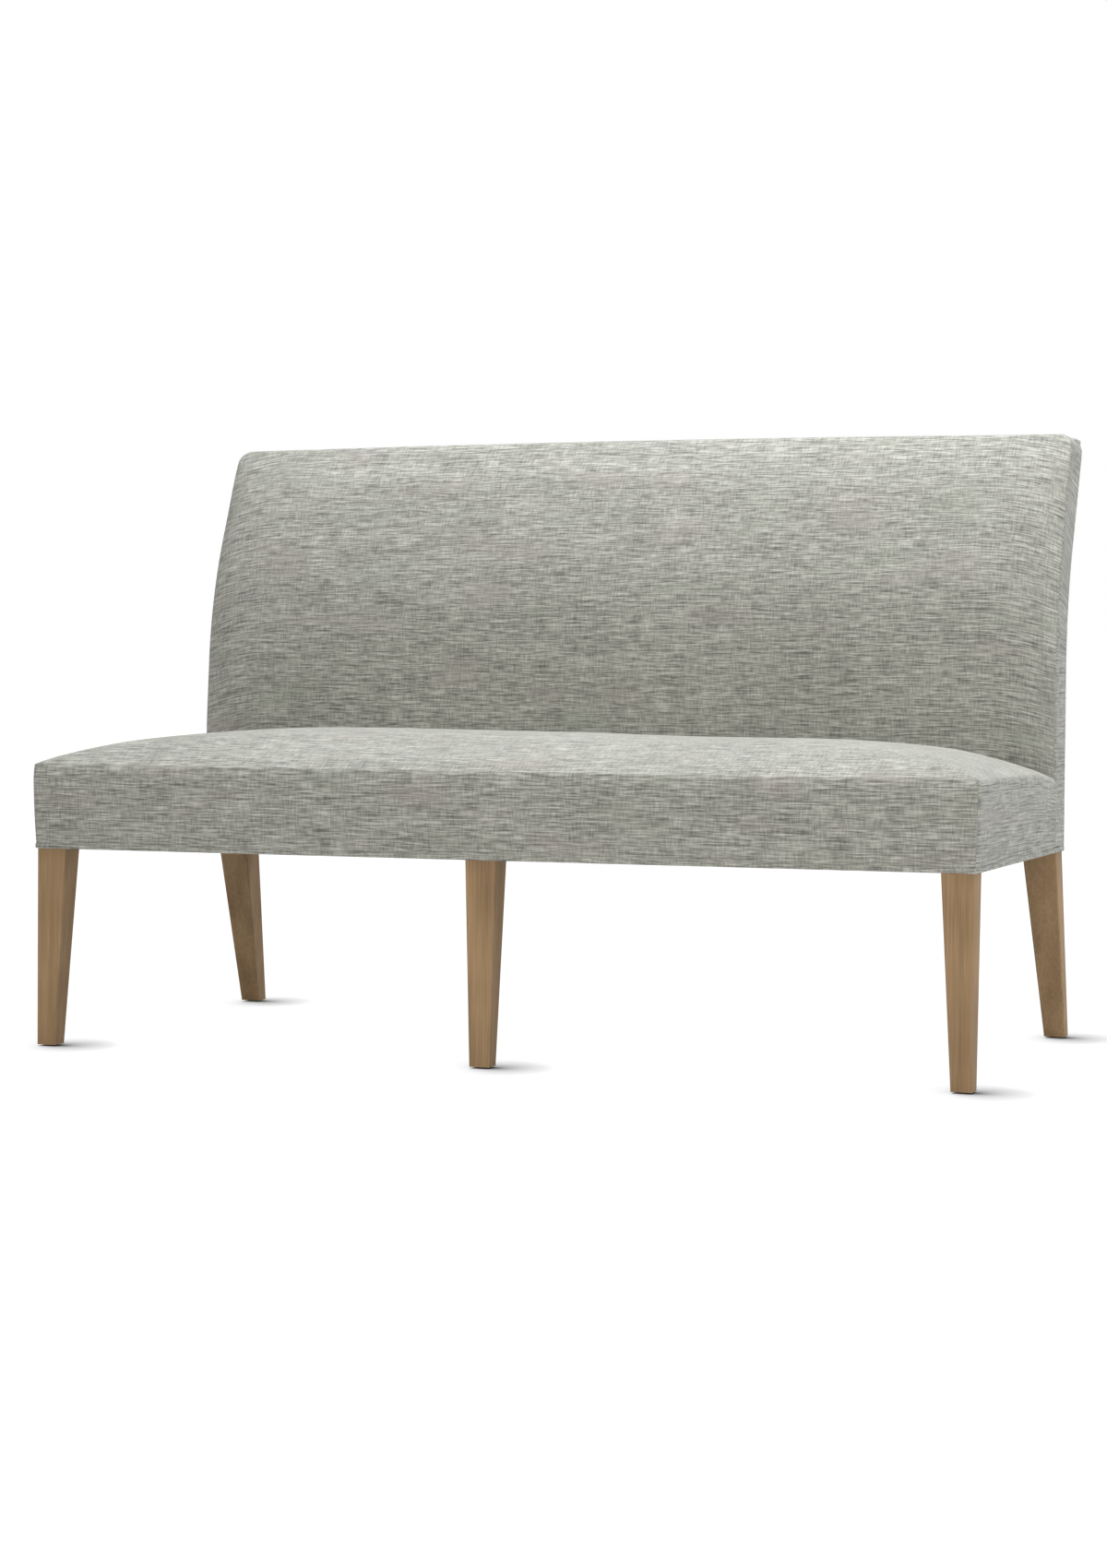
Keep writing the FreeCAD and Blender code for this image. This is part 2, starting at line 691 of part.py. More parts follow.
def long_webbing(label):
    """The seat straps that run from side to side, woven over and under the others."""
    thick = value("size.webbing")
    step = thick + value("size.soft_gap")
    wide = value("size.webbing_width")
    end = value(f"{FRAME_SIDE} - size.webbing_margin")
    deck = value(RAIL_TOP)
    near = value(f"{FRAME_FRONT} + size.rail_thickness")
    straps = []
    for row, y in enumerate(spread(int(value("size.long_straps")), near, value(BACK_FRONT))):
        level = [(-end, deck), (-value(f"{FRAME_SIDE} - size.rail_thickness"), deck)]
        for column, x in enumerate(cross_places()):
            height = deck + step * (1 if (row + column) % 2 else -1)
            level.extend([(x - wide / 2 - thick, height), (x + wide / 2 + thick, height)])
        level.extend([(-level[1][0], deck), (end, deck)])
        under = [Vector(x, y - wide / 2, z) for x, z in level]
        over = [point + Vector(0, 0, thick) for point in reversed(under)]
        straps.append(Part.Face(Part.makePolygon(under + over + under[:1])).extrude(Vector(0, wide, 0)))
    return solid_piece(label, Part.makeCompound(straps))


def back_webbing(label):
    """The back straps, stretched from post to post over the stile."""
    thick = value("size.webbing")
    wide = value("size.webbing_width")
    half = value(f"{FRAME_SIDE} - size.webbing_margin")
    radius = value(f"{FRAME_BEND} + size.back_frame_depth")
    centre = Vector(0, value(f"{FRAME_REAR} + {FRAME_BEND}"), value("size.bend_height"))
    low = value(LOWER_RAIL_TOP) - centre.z
    bent = radius * math.radians(value("size.lean_angle"))
    high = bent + value(f"{FRAME_RUN} - size.top_rail_height")
    straps = []
    for along in spread(int(value("size.back_straps")), low, high):
        angle = min(max(along, 0), bent) / radius
        straight = along - angle * radius
        outward = Vector(0, -math.cos(angle), math.sin(angle))
        upward = Vector(0, math.sin(angle), math.cos(angle))
        foot = centre + outward * radius + upward * (straight - wide / 2) - Vector(half, 0, 0)
        face = foot + outward * thick
        corners = [foot, face, face + upward * wide, foot + upward * wide, foot]
        straps.append(Part.Face(Part.makePolygon(corners)).extrude(Vector(2 * half, 0, 0)))
    return solid_piece(label, Part.makeCompound(straps))


def seat_hessian(label):
    """The hessian over the webbing, cut round the rear posts."""
    body = new_body(label, "0", "0", DECK)
    half = f"({FRAME_SIDE} - size.hessian_margin)"
    narrow = f"({FRAME_SIDE} - size.post_width - size.hessian_margin)"
    near = f"({FRAME_FRONT} + size.hessian_margin)"
    notch = f"({FRAME_REAR} - size.post_depth - size.hessian_margin)"
    far = f"({FRAME_REAR} - size.hessian_margin)"
    corners = [
        (f"-{half}", near), (half, near), (half, notch), (narrow, notch),
        (narrow, far), (f"-{narrow}", far), (f"-{narrow}", notch), (f"-{half}", notch),
    ]
    pad(body, outline(sketch_on(body, "XY_Plane"), corners), "size.hessian")
    return body


def dust_cover(label):
    """The cloth under the seat, cut round the five legs."""
    body = new_body(label, "0", "0", f"{RAIL_BOTTOM} - size.dust_cloth")
    half = f"({FRAME_SIDE} - size.dust_margin)"
    near = f"({FRAME_FRONT} + size.dust_margin)"
    far = f"({FRAME_REAR} - size.dust_margin)"
    leg_side = f"({FRAME_SIDE} - size.leg_top - size.soft_gap)"
    leg_back = f"({FRAME_FRONT} + size.leg_top + size.soft_gap)"
    middle = "(size.leg_top / 2 + size.soft_gap)"
    post_side = f"({FRAME_SIDE} - size.post_width - size.soft_gap)"
    post_front = f"({FRAME_REAR} - size.post_depth - size.soft_gap)"
    right = [
        (middle, leg_back), (middle, near), (leg_side, near), (leg_side, leg_back), (half, leg_back),
        (half, post_front), (post_side, post_front), (post_side, far),
    ]
    left = [(f"-{x}", y) for x, y in reversed(right)]
    pad(body, outline(sketch_on(body, "XY_Plane"), right + left), "size.dust_cloth")
    return body


def bottom_welt(label):
    """The welt round the lower edge of the covers."""
    body = new_body(label, "0", "0", "size.leg_height")
    outer = f"({SIDE} + size.welt_proud)"
    front = f"({FRONT} + size.draw_in - size.welt_proud)"
    rear = f"({BACK_REAR} + size.welt_proud)"
    plan = rectangle(sketch_on(body, "XY_Plane"), f"-{outer}", outer, front, rear)
    ring = pad(body, plan, "size.welt_height")
    turned = dress_edges(body, ring, "Fillet", "size.welt_corner", lambda box: box.ZLength > TOUCH)
    dress_edges(body, turned, "Chamfer", "size.welt_chamfer", lambda box: box.ZLength < TOUCH)
    inner = f"({FRAME_SIDE} + size.soft_gap)"
    near = f"({FRAME_FRONT} - size.soft_gap)"
    rake_below = f"size.post_rake * size.rail_rise / {RAIL_BOTTOM}"
    far = f"({FRAME_REAR} + {rake_below} + size.soft_gap)"
    pocket(body, rectangle(sketch_on(body, "XY_Plane"), f"-{inner}", inner, near, far))
    return body


def foot_places():
    """The middles of the five feet on the floor."""
    side = value(FRAME_SIDE)
    front = value(f"{FRAME_FRONT} + size.leg_foot / 2")
    reach = side - value("size.leg_foot / 2")
    rear = value(f"{FRAME_REAR} + size.post_rake - size.post_foot_depth / 2")
    rear_reach = side - value("size.post_foot_width / 2")
    return [(-reach, front), (0, front), (reach, front), (-rear_reach, rear), (rear_reach, rear)]


def foot_glides(label):
    """A round glide glued under each foot."""
    radius = value("size.glide_width / 2")
    height = value("size.glide_height")
    glides = [Part.makeCylinder(radius, height, Vector(x, y, 0)) for x, y in foot_places()]
    return solid_piece(label, Part.makeCompound(glides))


# Seat upholstery: nested crowned forms, each a loft up through rounded plans

BORDER_STEPS = 3
CROWN_STEPS = 9
PLAN_CORNER_STEPS = 4


def flat_loft(plans):
    """A solid up through plans whose matching edges are parallel, so that every face is flat."""
    faces = [Part.Face(Part.makePolygon([*plan, plan[0]])) for plan in (plans[0], plans[-1])]
    for lower, upper in zip(plans, plans[1:]):
        for index in range(len(lower)):
            corners = [lower[index - 1], lower[index], upper[index], upper[index - 1], lower[index - 1]]
            faces.append(Part.Face(Part.makePolygon(corners)))
    skin = Part.makeShell(faces)
    skin.sewShape()
    body = Part.makeSolid(skin)
    return body if body.Volume > 0 else body.reversed()


def plan_points(half, front, rear, radius, z):
    """The corners of a plan with two rounded front corners and two square rear ones."""
    turns = [math.radians(90 * step / PLAN_CORNER_STEPS) for step in range(PLAN_CORNER_STEPS + 1)]
    corner = [
        Vector(half - radius * (1 - math.sin(turn)), front + radius * (1 - math.cos(turn)), z)
        for turn in turns
    ]
    right = corner + [Vector(half, rear, z)]
    left = [Vector(-point.x, point.y, z) for point in reversed(right)]
    return right + left


def seat_form(inset, low, rear):
    """The seat's form drawn in by an inset: a border that swells upwards, then an oval crown."""
    foot = value(COVER_FOOT)
    edge = value(SEAT_EDGE)
    half = value("size.width / 2") - inset
    front = value(FRONT) + inset
    crown = value("size.seat_crown") - inset
    draw_in = value("size.draw_in")
    corner = value("size.seat_corner") - inset
    plans = []
    if low < foot:
        plans.append(plan_points(half - draw_in, front + draw_in, rear, corner, low))
    for step in range(BORDER_STEPS):
        share = step / BORDER_STEPS
        drawn = draw_in * (1 - share) ** 2
        plans.append(plan_points(half - drawn, front + drawn, rear, corner, foot + (edge - foot) * share))
    for step in range(CROWN_STEPS + 1):
        angle = math.radians(90 * step / CROWN_STEPS)
        fall = 1 - math.cos(angle)
        side_run = value("size.crown_run_side") * fall
        front_run = value("size.crown_run_front") * fall
        radius = corner + value("size.crown_corner") * fall
        height = edge + crown * math.sin(angle)
        plans.append(plan_points(half - side_run, front + front_run, rear, radius, height))
    return flat_loft(plans)


def slab(half, front, rear, low, high):
    """A block about the middle plane of the bench."""
    return Part.makeBox(2 * half, rear - front, high - low, Vector(-half, front, low))


def end_block(side, start, front, low, high):
    """A block that takes in everything from a start out to one side of the bench."""
    far = value("size.width")
    left = start if side > 0 else -far
    return Part.makeBox(far - start, far, high - low, Vector(left, front, low))


def seat_pieces():
    """The seat's foam, wadding and three cover panels."""
    cover = value("size.cover")
    gap = value("size.soft_gap")
    wadding = value("size.wadding")
    foot = value(COVER_FOOT)
    below = value("size.leg_height")
    rear = value(BACK_FRONT) - gap
    beyond = value(BACK_REAR)
    far = value("size.width")
    shell = seat_form(0, foot, rear).cut(seat_form(cover, below, beyond))
    warm = seat_form(cover + gap, foot, rear).cut(seat_form(cover + gap + wadding, below, beyond))
    leg = value("size.leg_top")
    leg_side = value(FRAME_SIDE) + gap
    leg_front = value(FRAME_FRONT) - gap
    for left in (-leg_side, leg_side - leg):
        warm = warm.cut(Part.makeBox(leg, leg, value(RAIL_TOP) + gap, Vector(left, leg_front, 0)))
    deck = slab(far, -far, far, 0, value(f"{DECK_TOP} + size.soft_gap"))
    foam = seat_form(value(INSET), below, rear).cut(deck)
    seam = value("size.width / 2 - size.seat_corner")
    corner = value(f"{FRONT} + size.seat_corner / 2")
    panels = []
    for name, side in (("left_seat_side_cover", -1), ("right_seat_side_cover", 1)):
        end = end_block(side, seam, corner, below, value(SEAT_EDGE))
        panels.append(solid_piece(name, shell.common(end)))
        shell = shell.cut(end)
    panels.append(solid_piece("seat_top_cover", shell))
    return panels + [solid_piece("seat_wadding", warm), solid_piece("seat_foam", foam)]


# Back upholstery: nested forms, each a loft across the bench through bent upright sections

CORNER_STEPS = 3
ROUND_STEPS = 3


def quarter_drop(radius, reach):
    """How far a rounded corner has fallen away at a reach from its end."""
    if reach >= radius:
        return 0.0
    return radius - math.sqrt(radius ** 2 - (radius - reach) ** 2)


def rounded_corner(corner, back, on, radius):
    """Points round a corner between the way back and the way on from it."""
    half = back.getAngle(on) / 2
    reach = radius / math.tan(half)
    centre = corner + (back + on).normalize() * (radius / math.sin(half))
    start = corner + back * reach - centre
    axis = start.cross(corner + on * reach - centre)
    sweep = 180 - 2 * math.degrees(half)
    turns = [FreeCAD.Rotation(axis, sweep * step / ROUND_STEPS) for step in range(ROUND_STEPS + 1)]
    return [centre + turn.multVec(start) for turn in turns]


def back_section(x, reach, insets, low):
    """An upright section of the back at x, a reach in from its end."""
    front_inset, rear_inset, top_inset = insets
    angle = math.radians(value("size.lean_angle"))
    upward = Vector(0, math.sin(angle), math.cos(angle))
    outward = Vector(0, -math.cos(angle), math.sin(angle))
    bend = value("size.bend_height")
    swell = 1 - (1 - min(reach / value("size.back_crown_run"), 1)) ** 2
    crown = value("size.back_crown") * swell
    rear_y = value(BACK_REAR) - rear_inset
    rear_radius = value(REAR_BEND) + rear_inset
    front_y = value(BACK_FRONT) + front_inset + quarter_drop(value("size.side_round"), reach)
    front_radius = rear_y + rear_radius - front_y + crown / (1 - math.cos(angle))
    run = value("size.lean_run") - top_inset - quarter_drop(value("size.top_corner"), reach)
    rear_centre = Vector(x, rear_y + rear_radius, bend)
    front_centre = Vector(x, front_y + front_radius, bend)
    rear_bend = rear_centre + outward * rear_radius
    front_bend = front_centre + outward * front_radius
    thickness = (front_bend - rear_bend).dot(outward)
    rear_top = rear_bend + upward * (run + thickness * math.tan(angle))
    front_top = rear_bend + upward * run + outward * thickness
    half_turn = Vector(0, -math.cos(angle / 2), math.sin(angle / 2))
    forward = Vector(0, -1, 0)
    rear_start = Vector(x, rear_y, bend)
    front_start = Vector(x, front_y, bend)
    crest = [
        rear_bend,
        *rounded_corner(rear_top, -upward, forward, value("size.rear_round")),
        *rounded_corner(front_top, -forward, -upward, value("size.top_round")),
        front_bend,
    ]
    foot = [front_start, Vector(x, front_y, low), Vector(x, rear_y, low), rear_start]
    return Part.Wire([
        Part.Arc(rear_start, rear_centre + half_turn * rear_radius, rear_bend).toShape(),
        *Part.makePolygon(crest).Edges,
        Part.Arc(front_bend, front_centre + half_turn * front_radius, front_start).toShape(),
        *Part.makePolygon(foot).Edges,
    ])


def back_form(side_inset, insets, low):
    """The back's form, drawn in at its ends, front, rear and top."""
    half = value(SIDE) - side_inset
    corner = value("size.top_corner")
    run = value("size.back_crown_run")
    turns = [math.radians(90 * step / CORNER_STEPS) for step in range(CORNER_STEPS + 1)]
    reaches = [corner * (1 - math.cos(turn)) for turn in turns]
    reaches.extend([(corner + run) / 2, run])
    places = [(reach - half, reach) for reach in reaches]
    places.append((0, half))
    places.extend((half - reach, reach) for reach in reversed(reaches))
    return Part.makeLoft([back_section(x, reach, insets, low) for x, reach in places], True, True)


def back_pieces():
    """The back's foam, wadding and four cover panels."""
    cover = value("size.cover")
    inner = value("size.cover + size.soft_gap")
    core = value("size.cover + size.soft_gap + size.wadding")
    inset = value(INSET)
    foot = value(COVER_FOOT)
    below = value("size.leg_height")
    deck = value(f"{DECK_TOP} + size.soft_gap")
    frame_rear = value(FRAME_REAR)
    far = value("size.width")
    shell = back_form(0, (0, 0, 0), foot).cut(back_form(cover, (cover, cover, cover), below))
    warm = back_form(inner, (inner, inner, inner), foot).cut(back_form(core, (core, core, core), below))
    warm = warm.cut(slab(value(f"{FRAME_SIDE} + size.soft_gap"), -far, frame_rear, 0, deck))
    strap_bow = value(f"size.webbing_width ^ 2 / (8 * ({FRAME_BEND} + size.back_frame_depth))")
    foam_rear = value(f"{INSET} + size.back_frame_depth + size.webbing + size.soft_gap") + strap_bow
    frame_run = value(f"{FRAME_RUN} + size.soft_gap")
    foam = back_form(inset, (inset, inset, inset), deck).cut(back_rear_strip(far, foam_rear, 0, frame_run))
    post_start = value(f"{FRAME_SIDE} - size.post_width - size.soft_gap")
    post_front = value(f"{FRAME_REAR} - size.post_depth - size.soft_gap")
    post_shoulder = value(f"{RAIL_TOP} + size.post_taper + size.soft_gap")
    for side in (-1, 1):
        foam = foam.cut(end_block(side, post_start, post_front, 0, post_shoulder))
    plate = value(SIDE) - cover
    panels = []
    for name, side in (("left_back_gusset", -1), ("right_back_gusset", 1)):
        end = end_block(side, plate, value(FRONT), 0, far)
        panels.append(solid_piece(name, shell.common(end)))
        shell = shell.cut(end)
    behind = back_rear_strip(plate, cover, foot, value(f"size.lean_run + {REAR_RISE} - size.top_corner"))
    panels.append(solid_piece("outside_back_cover", shell.common(behind)))
    shell = shell.cut(behind).cut(slab(far, -far, frame_rear, 0, deck))
    panels.append(solid_piece("inside_back_cover", shell))
    return panels + [solid_piece("back_wadding", warm), solid_piece("back_foam", foam)]


def back_rear_strip(half, depth, low, run):
    """A bent strip from the back's rear face inwards, up to a run along its leaning part."""
    angle = math.radians(value("size.lean_angle"))
    upward = Vector(0, math.sin(angle), math.cos(angle))
    outward = Vector(0, -math.cos(angle), math.sin(angle))
    half_turn = Vector(0, -math.cos(angle / 2), math.sin(angle / 2))
    centre = Vector(-half, value(f"{BACK_REAR} + {REAR_BEND}"), value("size.bend_height"))
    near = value(REAR_BEND) - depth
    far = value(REAR_BEND) + depth
    flat = Vector(0, -1, 0)

    def ray(direction, radius):
        return centre + direction * radius

    drop = Vector(0, 0, low - centre.z)
    edges = [
        Part.makeLine(ray(flat, near) + drop, ray(flat, near)),
        Part.Arc(ray(flat, near), ray(half_turn, near), ray(outward, near)).toShape(),
        Part.makeLine(ray(outward, near), ray(outward, near) + upward * run),
        Part.makeLine(ray(outward, near) + upward * run, ray(outward, far) + upward * run),
        Part.makeLine(ray(outward, far) + upward * run, ray(outward, far)),
        Part.Arc(ray(outward, far), ray(half_turn, far), ray(flat, far)).toShape(),
        Part.makeLine(ray(flat, far), ray(flat, far) + drop),
        Part.makeLine(ray(flat, far) + drop, ray(flat, near) + drop),
    ]
    return Part.Face(Part.Wire(edges)).extrude(Vector(2 * half, 0, 0))


# The whole bench

pieces.append(corner_leg("front_left_leg", -1))
pieces.append(corner_leg("front_right_leg", 1))
pieces.append(centre_leg("front_centre_leg"))
pieces.append(rear_post("rear_left_post", -1))
pieces.append(rear_post("rear_right_post", 1))
pieces.append(front_rail("front_rail"))
pieces.append(rear_rail("rear_rail"))
pieces.append(side_rail("left_side_rail", -1))
pieces.append(side_rail("right_side_rail", 1))
pieces.append(stretcher("left_stretcher", -1))
pieces.append(stretcher("right_stretcher", 1))
for block_name, (block_side, block_inward) in BLOCK_PLACES.items():
    pieces.append(corner_block(block_name, block_side, block_inward))
pieces.append(leg_bolts("centre_leg_bolts"))
pieces.append(leg_nuts("centre_leg_nuts"))
pieces.append(lower_back_rail("lower_back_rail"))
pieces.append(top_back_rail("top_back_rail"))
pieces.append(back_stile("back_stile"))
pieces.append(cross_webbing("seat_cross_webbing"))
pieces.append(long_webbing("seat_long_webbing"))
pieces.append(back_webbing("back_webbing"))
pieces.append(seat_hessian("seat_hessian"))
pieces.append(dust_cover("dust_cover"))
pieces.append(bottom_welt("bottom_welt"))
pieces.append(foot_glides("foot_glides"))
pieces.extend(seat_pieces())
pieces.extend(back_pieces())
doc.recompute()

# Every object has to be whole before anything is written
for item in doc.Objects:
    if "Invalid" in item.State or "Error" in item.State:
        raise RuntimeError(f"{item.Label} is {item.State}")
for piece in pieces:
    if piece.Shape.isNull() or not piece.Shape.isValid() or not piece.Shape.Solids:
        raise RuntimeError(f"{piece.Label} has no sound solid")

os.makedirs("parts", exist_ok=True)
for piece in pieces:
    piece.Shape.exportStep(f"parts/{piece.Label}.step")
    print(piece.Label, len(piece.Shape.Solids), round(piece.Shape.Volume / 1000, 1))
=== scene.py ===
"""Looks of a dining banquette: padded seat and back, welt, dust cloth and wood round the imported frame."""

import json
import logging
import math
from collections.abc import Callable, Iterable
from dataclasses import dataclass
from enum import Enum

import bmesh
import bpy
from mathutils import Matrix, Vector, noise

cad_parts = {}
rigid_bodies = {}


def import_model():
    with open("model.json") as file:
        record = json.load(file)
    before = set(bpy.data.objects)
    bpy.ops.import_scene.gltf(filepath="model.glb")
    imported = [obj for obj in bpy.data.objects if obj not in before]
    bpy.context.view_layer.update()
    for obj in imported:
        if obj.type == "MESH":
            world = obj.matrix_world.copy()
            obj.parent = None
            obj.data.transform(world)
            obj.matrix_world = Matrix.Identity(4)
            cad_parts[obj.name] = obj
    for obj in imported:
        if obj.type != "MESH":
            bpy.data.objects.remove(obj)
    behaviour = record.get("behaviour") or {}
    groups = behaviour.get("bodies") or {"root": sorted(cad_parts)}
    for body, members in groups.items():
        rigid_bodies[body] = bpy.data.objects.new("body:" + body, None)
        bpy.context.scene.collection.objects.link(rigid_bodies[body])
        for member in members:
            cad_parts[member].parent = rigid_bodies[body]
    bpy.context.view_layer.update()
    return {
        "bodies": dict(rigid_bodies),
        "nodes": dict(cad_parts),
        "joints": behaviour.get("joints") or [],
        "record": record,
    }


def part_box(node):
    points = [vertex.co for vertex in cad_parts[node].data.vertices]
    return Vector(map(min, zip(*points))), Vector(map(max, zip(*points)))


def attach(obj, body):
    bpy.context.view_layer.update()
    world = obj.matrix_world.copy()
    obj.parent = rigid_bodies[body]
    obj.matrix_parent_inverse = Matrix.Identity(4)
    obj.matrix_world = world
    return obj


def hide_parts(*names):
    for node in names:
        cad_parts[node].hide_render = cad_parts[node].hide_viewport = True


LOG = logging.getLogger("banquette")
BODY = "root"
# Lengths shorter than this count as none, in metres
TINY = 1e-5
# The distance from a seam that a point on no seam is given, in metres
NO_SEAM = 1.0
# The weave's slubs run longer on the side panels, by one over this share
SIDE_STRETCH = 0.4
# A face counts as level when more than this share of its normal points up or down
LEVEL = 0.5
# The cosine of half a right angle, past which a face counts as turned to an axis
DIAGONAL = math.sqrt(0.5)
# The middle of a noise's range, and of a tone mixed from noises
NOISE_MIDDLE = 0.5
# The names of the cloth's own map and of each point's distance from a seam
CLOTH_MAP = "cloth"
SEAM = "seam"
# The Mix node's colour sockets, which share their names with those for numbers and vectors
MIX_FIRST, MIX_SECOND, MIX_RESULT = 6, 7, 2
WHITE = (1.0, 1.0, 1.0, 1.0)

# A colour in linear light, pattern cells to a metre along each axis, and what fills a number's socket
Colour = tuple[float, float, float]
Cells = tuple[float, float, float]
Source = bpy.types.NodeSocket | float


class Axis(Enum):
    """The axes of the bench."""

    ACROSS = 0
    DEPTH = 1
    UP = 2

    @property
    def direction(self) -> Vector:
        """The axis as a vector.

        Returns:
            The vector, one metre long.
        """
        vector = Vector((0.0, 0.0, 0.0))
        vector[self.value] = 1.0
        return vector


class Cut(Enum):
    """How far along the cloth a panel is cut, in metres, so that no two panels look alike."""

    SEAT_SIDE = 3.0
    BACK_SIDE = 5.0
    OUTSIDE_BACK = 9.0
    WELT = 12.0


class Graph:
    """A material's node tree, with short ways to add nodes and join them."""

    def __init__(self, name: str) -> None:
        """Starts a material with a plain shader.

        Args:
            name: The material's name.
        """
        self.material = bpy.data.materials.new(name)
        self.material.use_nodes = True
        self.tree = self.material.node_tree
        self.shader = next(node for node in self.tree.nodes if node.type == "BSDF_PRINCIPLED")

    def put(self, target: bpy.types.NodeSocket, source: Source | Colour) -> None:
        """Joins a socket to another, or sets its number or colour.

        Args:
            target: The input to fill.
            source: The output to join to it, or its number or colour.
        """
        if isinstance(source, bpy.types.NodeSocket):
            self.tree.links.new(source, target)
        elif isinstance(source, tuple) and target.type == "RGBA":
            target.default_value = (*source, 1.0)
        else:
            target.default_value = source

    def set_shader(self, **values: Source | Colour) -> None:
        """Sets or joins inputs of the shader, named with underscores."""
        for name, value in values.items():
            self.put(self.shader.inputs[name.replace("_", " ").title().replace("Ior", "IOR")], value)

    def coordinates(self, stretch: Cells, cloth: bool = False) -> bpy.types.NodeSocket:
        """Places on the piece, stretched along each axis.

        Args:
            stretch: Pattern cells to a metre along each axis.
            cloth: Whether to follow the cloth's own map and not the bench's axes.

        Returns:
            The vector socket.
        """
        if cloth:
            start = self.tree.nodes.new("ShaderNodeUVMap")
            start.uv_map = CLOTH_MAP
            place = start.outputs["UV"]
        else:
            place = self.tree.nodes.new("ShaderNodeTexCoord").outputs["Object"]
        mapping = self.tree.nodes.new("ShaderNodeMapping")
        mapping.inputs["Scale"].default_value = stretch
        self.put(mapping.inputs["Vector"], place)
        return mapping.outputs["Vector"]

    def cloudy(
        self, place: bpy.types.NodeSocket, detail: float = 2.0, rough: float = 0.5,
    ) -> bpy.types.NodeSocket:
        """Soft noise about one half over a place.

        Args:
            place: The vector socket that the noise reads.
            detail: How many finer layers the noise has.
            rough: How strong the finer layers are.

        Returns:
            The noise's socket.
        """
        node = self.tree.nodes.new("ShaderNodeTexNoise")
        node.inputs["Scale"].default_value = 1.0
        node.inputs["Detail"].default_value = detail
        node.inputs["Roughness"].default_value = rough
        self.put(node.inputs["Vector"], place)
        return node.outputs[0]

    def maths(self, operation: str, first: Source, second: Source = 0.0) -> bpy.types.NodeSocket:
        """The result of a Math node.

        Args:
            operation: The node's operation.
            first: The first number.
            second: The second number.

        Returns:
            The result's socket.
        """
        node = self.tree.nodes.new("ShaderNodeMath")
        node.operation = operation
        self.put(node.inputs[0], first)
        self.put(node.inputs[1], second)
        return node.outputs[0]

    def mixture(
        self, base: float, parts: Iterable[tuple[bpy.types.NodeSocket, float]],
    ) -> bpy.types.NodeSocket:
        """A base number with weighted noises added, each counted from its middle.

        Args:
            base: The number to start from.
            parts: Each noise with its weight.

        Returns:
            The sum's socket.
        """
        total: Source = base
        for socket, weight in parts:
            centred = self.maths("SUBTRACT", socket, NOISE_MIDDLE)
            total = self.maths("ADD", total, self.maths("MULTIPLY", centred, weight))
        return total

    def between(self, value: Source, low: float, high: float) -> bpy.types.NodeSocket:
        """A value's smooth rise from 0 at one end to 1 at the other.

        Args:
            value: The value.
            low: Where the rise starts.
            high: Where it ends, which may be below its start.

        Returns:
            The rise's socket.
        """
        node = self.tree.nodes.new("ShaderNodeMapRange")
        node.interpolation_type = "SMOOTHSTEP"
        self.put(node.inputs["Value"], value)
        node.inputs["From Min"].default_value = low
        node.inputs["From Max"].default_value = high
        return node.outputs["Result"]

    def ramp(
        self, value: bpy.types.NodeSocket, stops: Iterable[tuple[float, Colour]],
    ) -> bpy.types.NodeSocket:
        """A colour that changes with a value through several stops.

        Args:
            value: The value.
            stops: The places of the two ends, then of those between, each with its colour.

        Returns:
            The colour's socket.
        """
        node = self.tree.nodes.new("ShaderNodeValToRGB")
        elements = node.color_ramp.elements
        ends = len(elements)
        for index, (position, colour) in enumerate(stops):
            element = elements[index] if index < ends else elements.new(position)
            element.position = position
            element.color = (*colour, 1.0)
        self.put(node.inputs["Fac"], value)
        return node.outputs["Color"]

    def blend(self, share: Source, first: Source | Colour, second: Source | Colour) -> bpy.types.NodeSocket:
        """A mix of two colours.

        Args:
            share: How much of the second colour there is.
            first: The first colour.
            second: The second colour.

        Returns:
            The colour's socket.
        """
        node = self.tree.nodes.new("ShaderNodeMix")
        node.data_type = "RGBA"
        self.put(node.inputs[0], share)
        self.put(node.inputs[MIX_FIRST], first)
        self.put(node.inputs[MIX_SECOND], second)
        return node.outputs[MIX_RESULT]

    def relief(self, height: bpy.types.NodeSocket, depth: float, strength: float) -> None:
        """Gives the shader a bump.

        Args:
            height: The height's socket.
            depth: The bump's depth, in metres.
            strength: How much of the bump shows.
        """
        node = self.tree.nodes.new("ShaderNodeBump")
        node.inputs["Distance"].default_value = depth
        node.inputs["Strength"].default_value = strength
        self.put(node.inputs["Height"], height)
        self.put(self.shader.inputs["Normal"], node.outputs["Normal"])


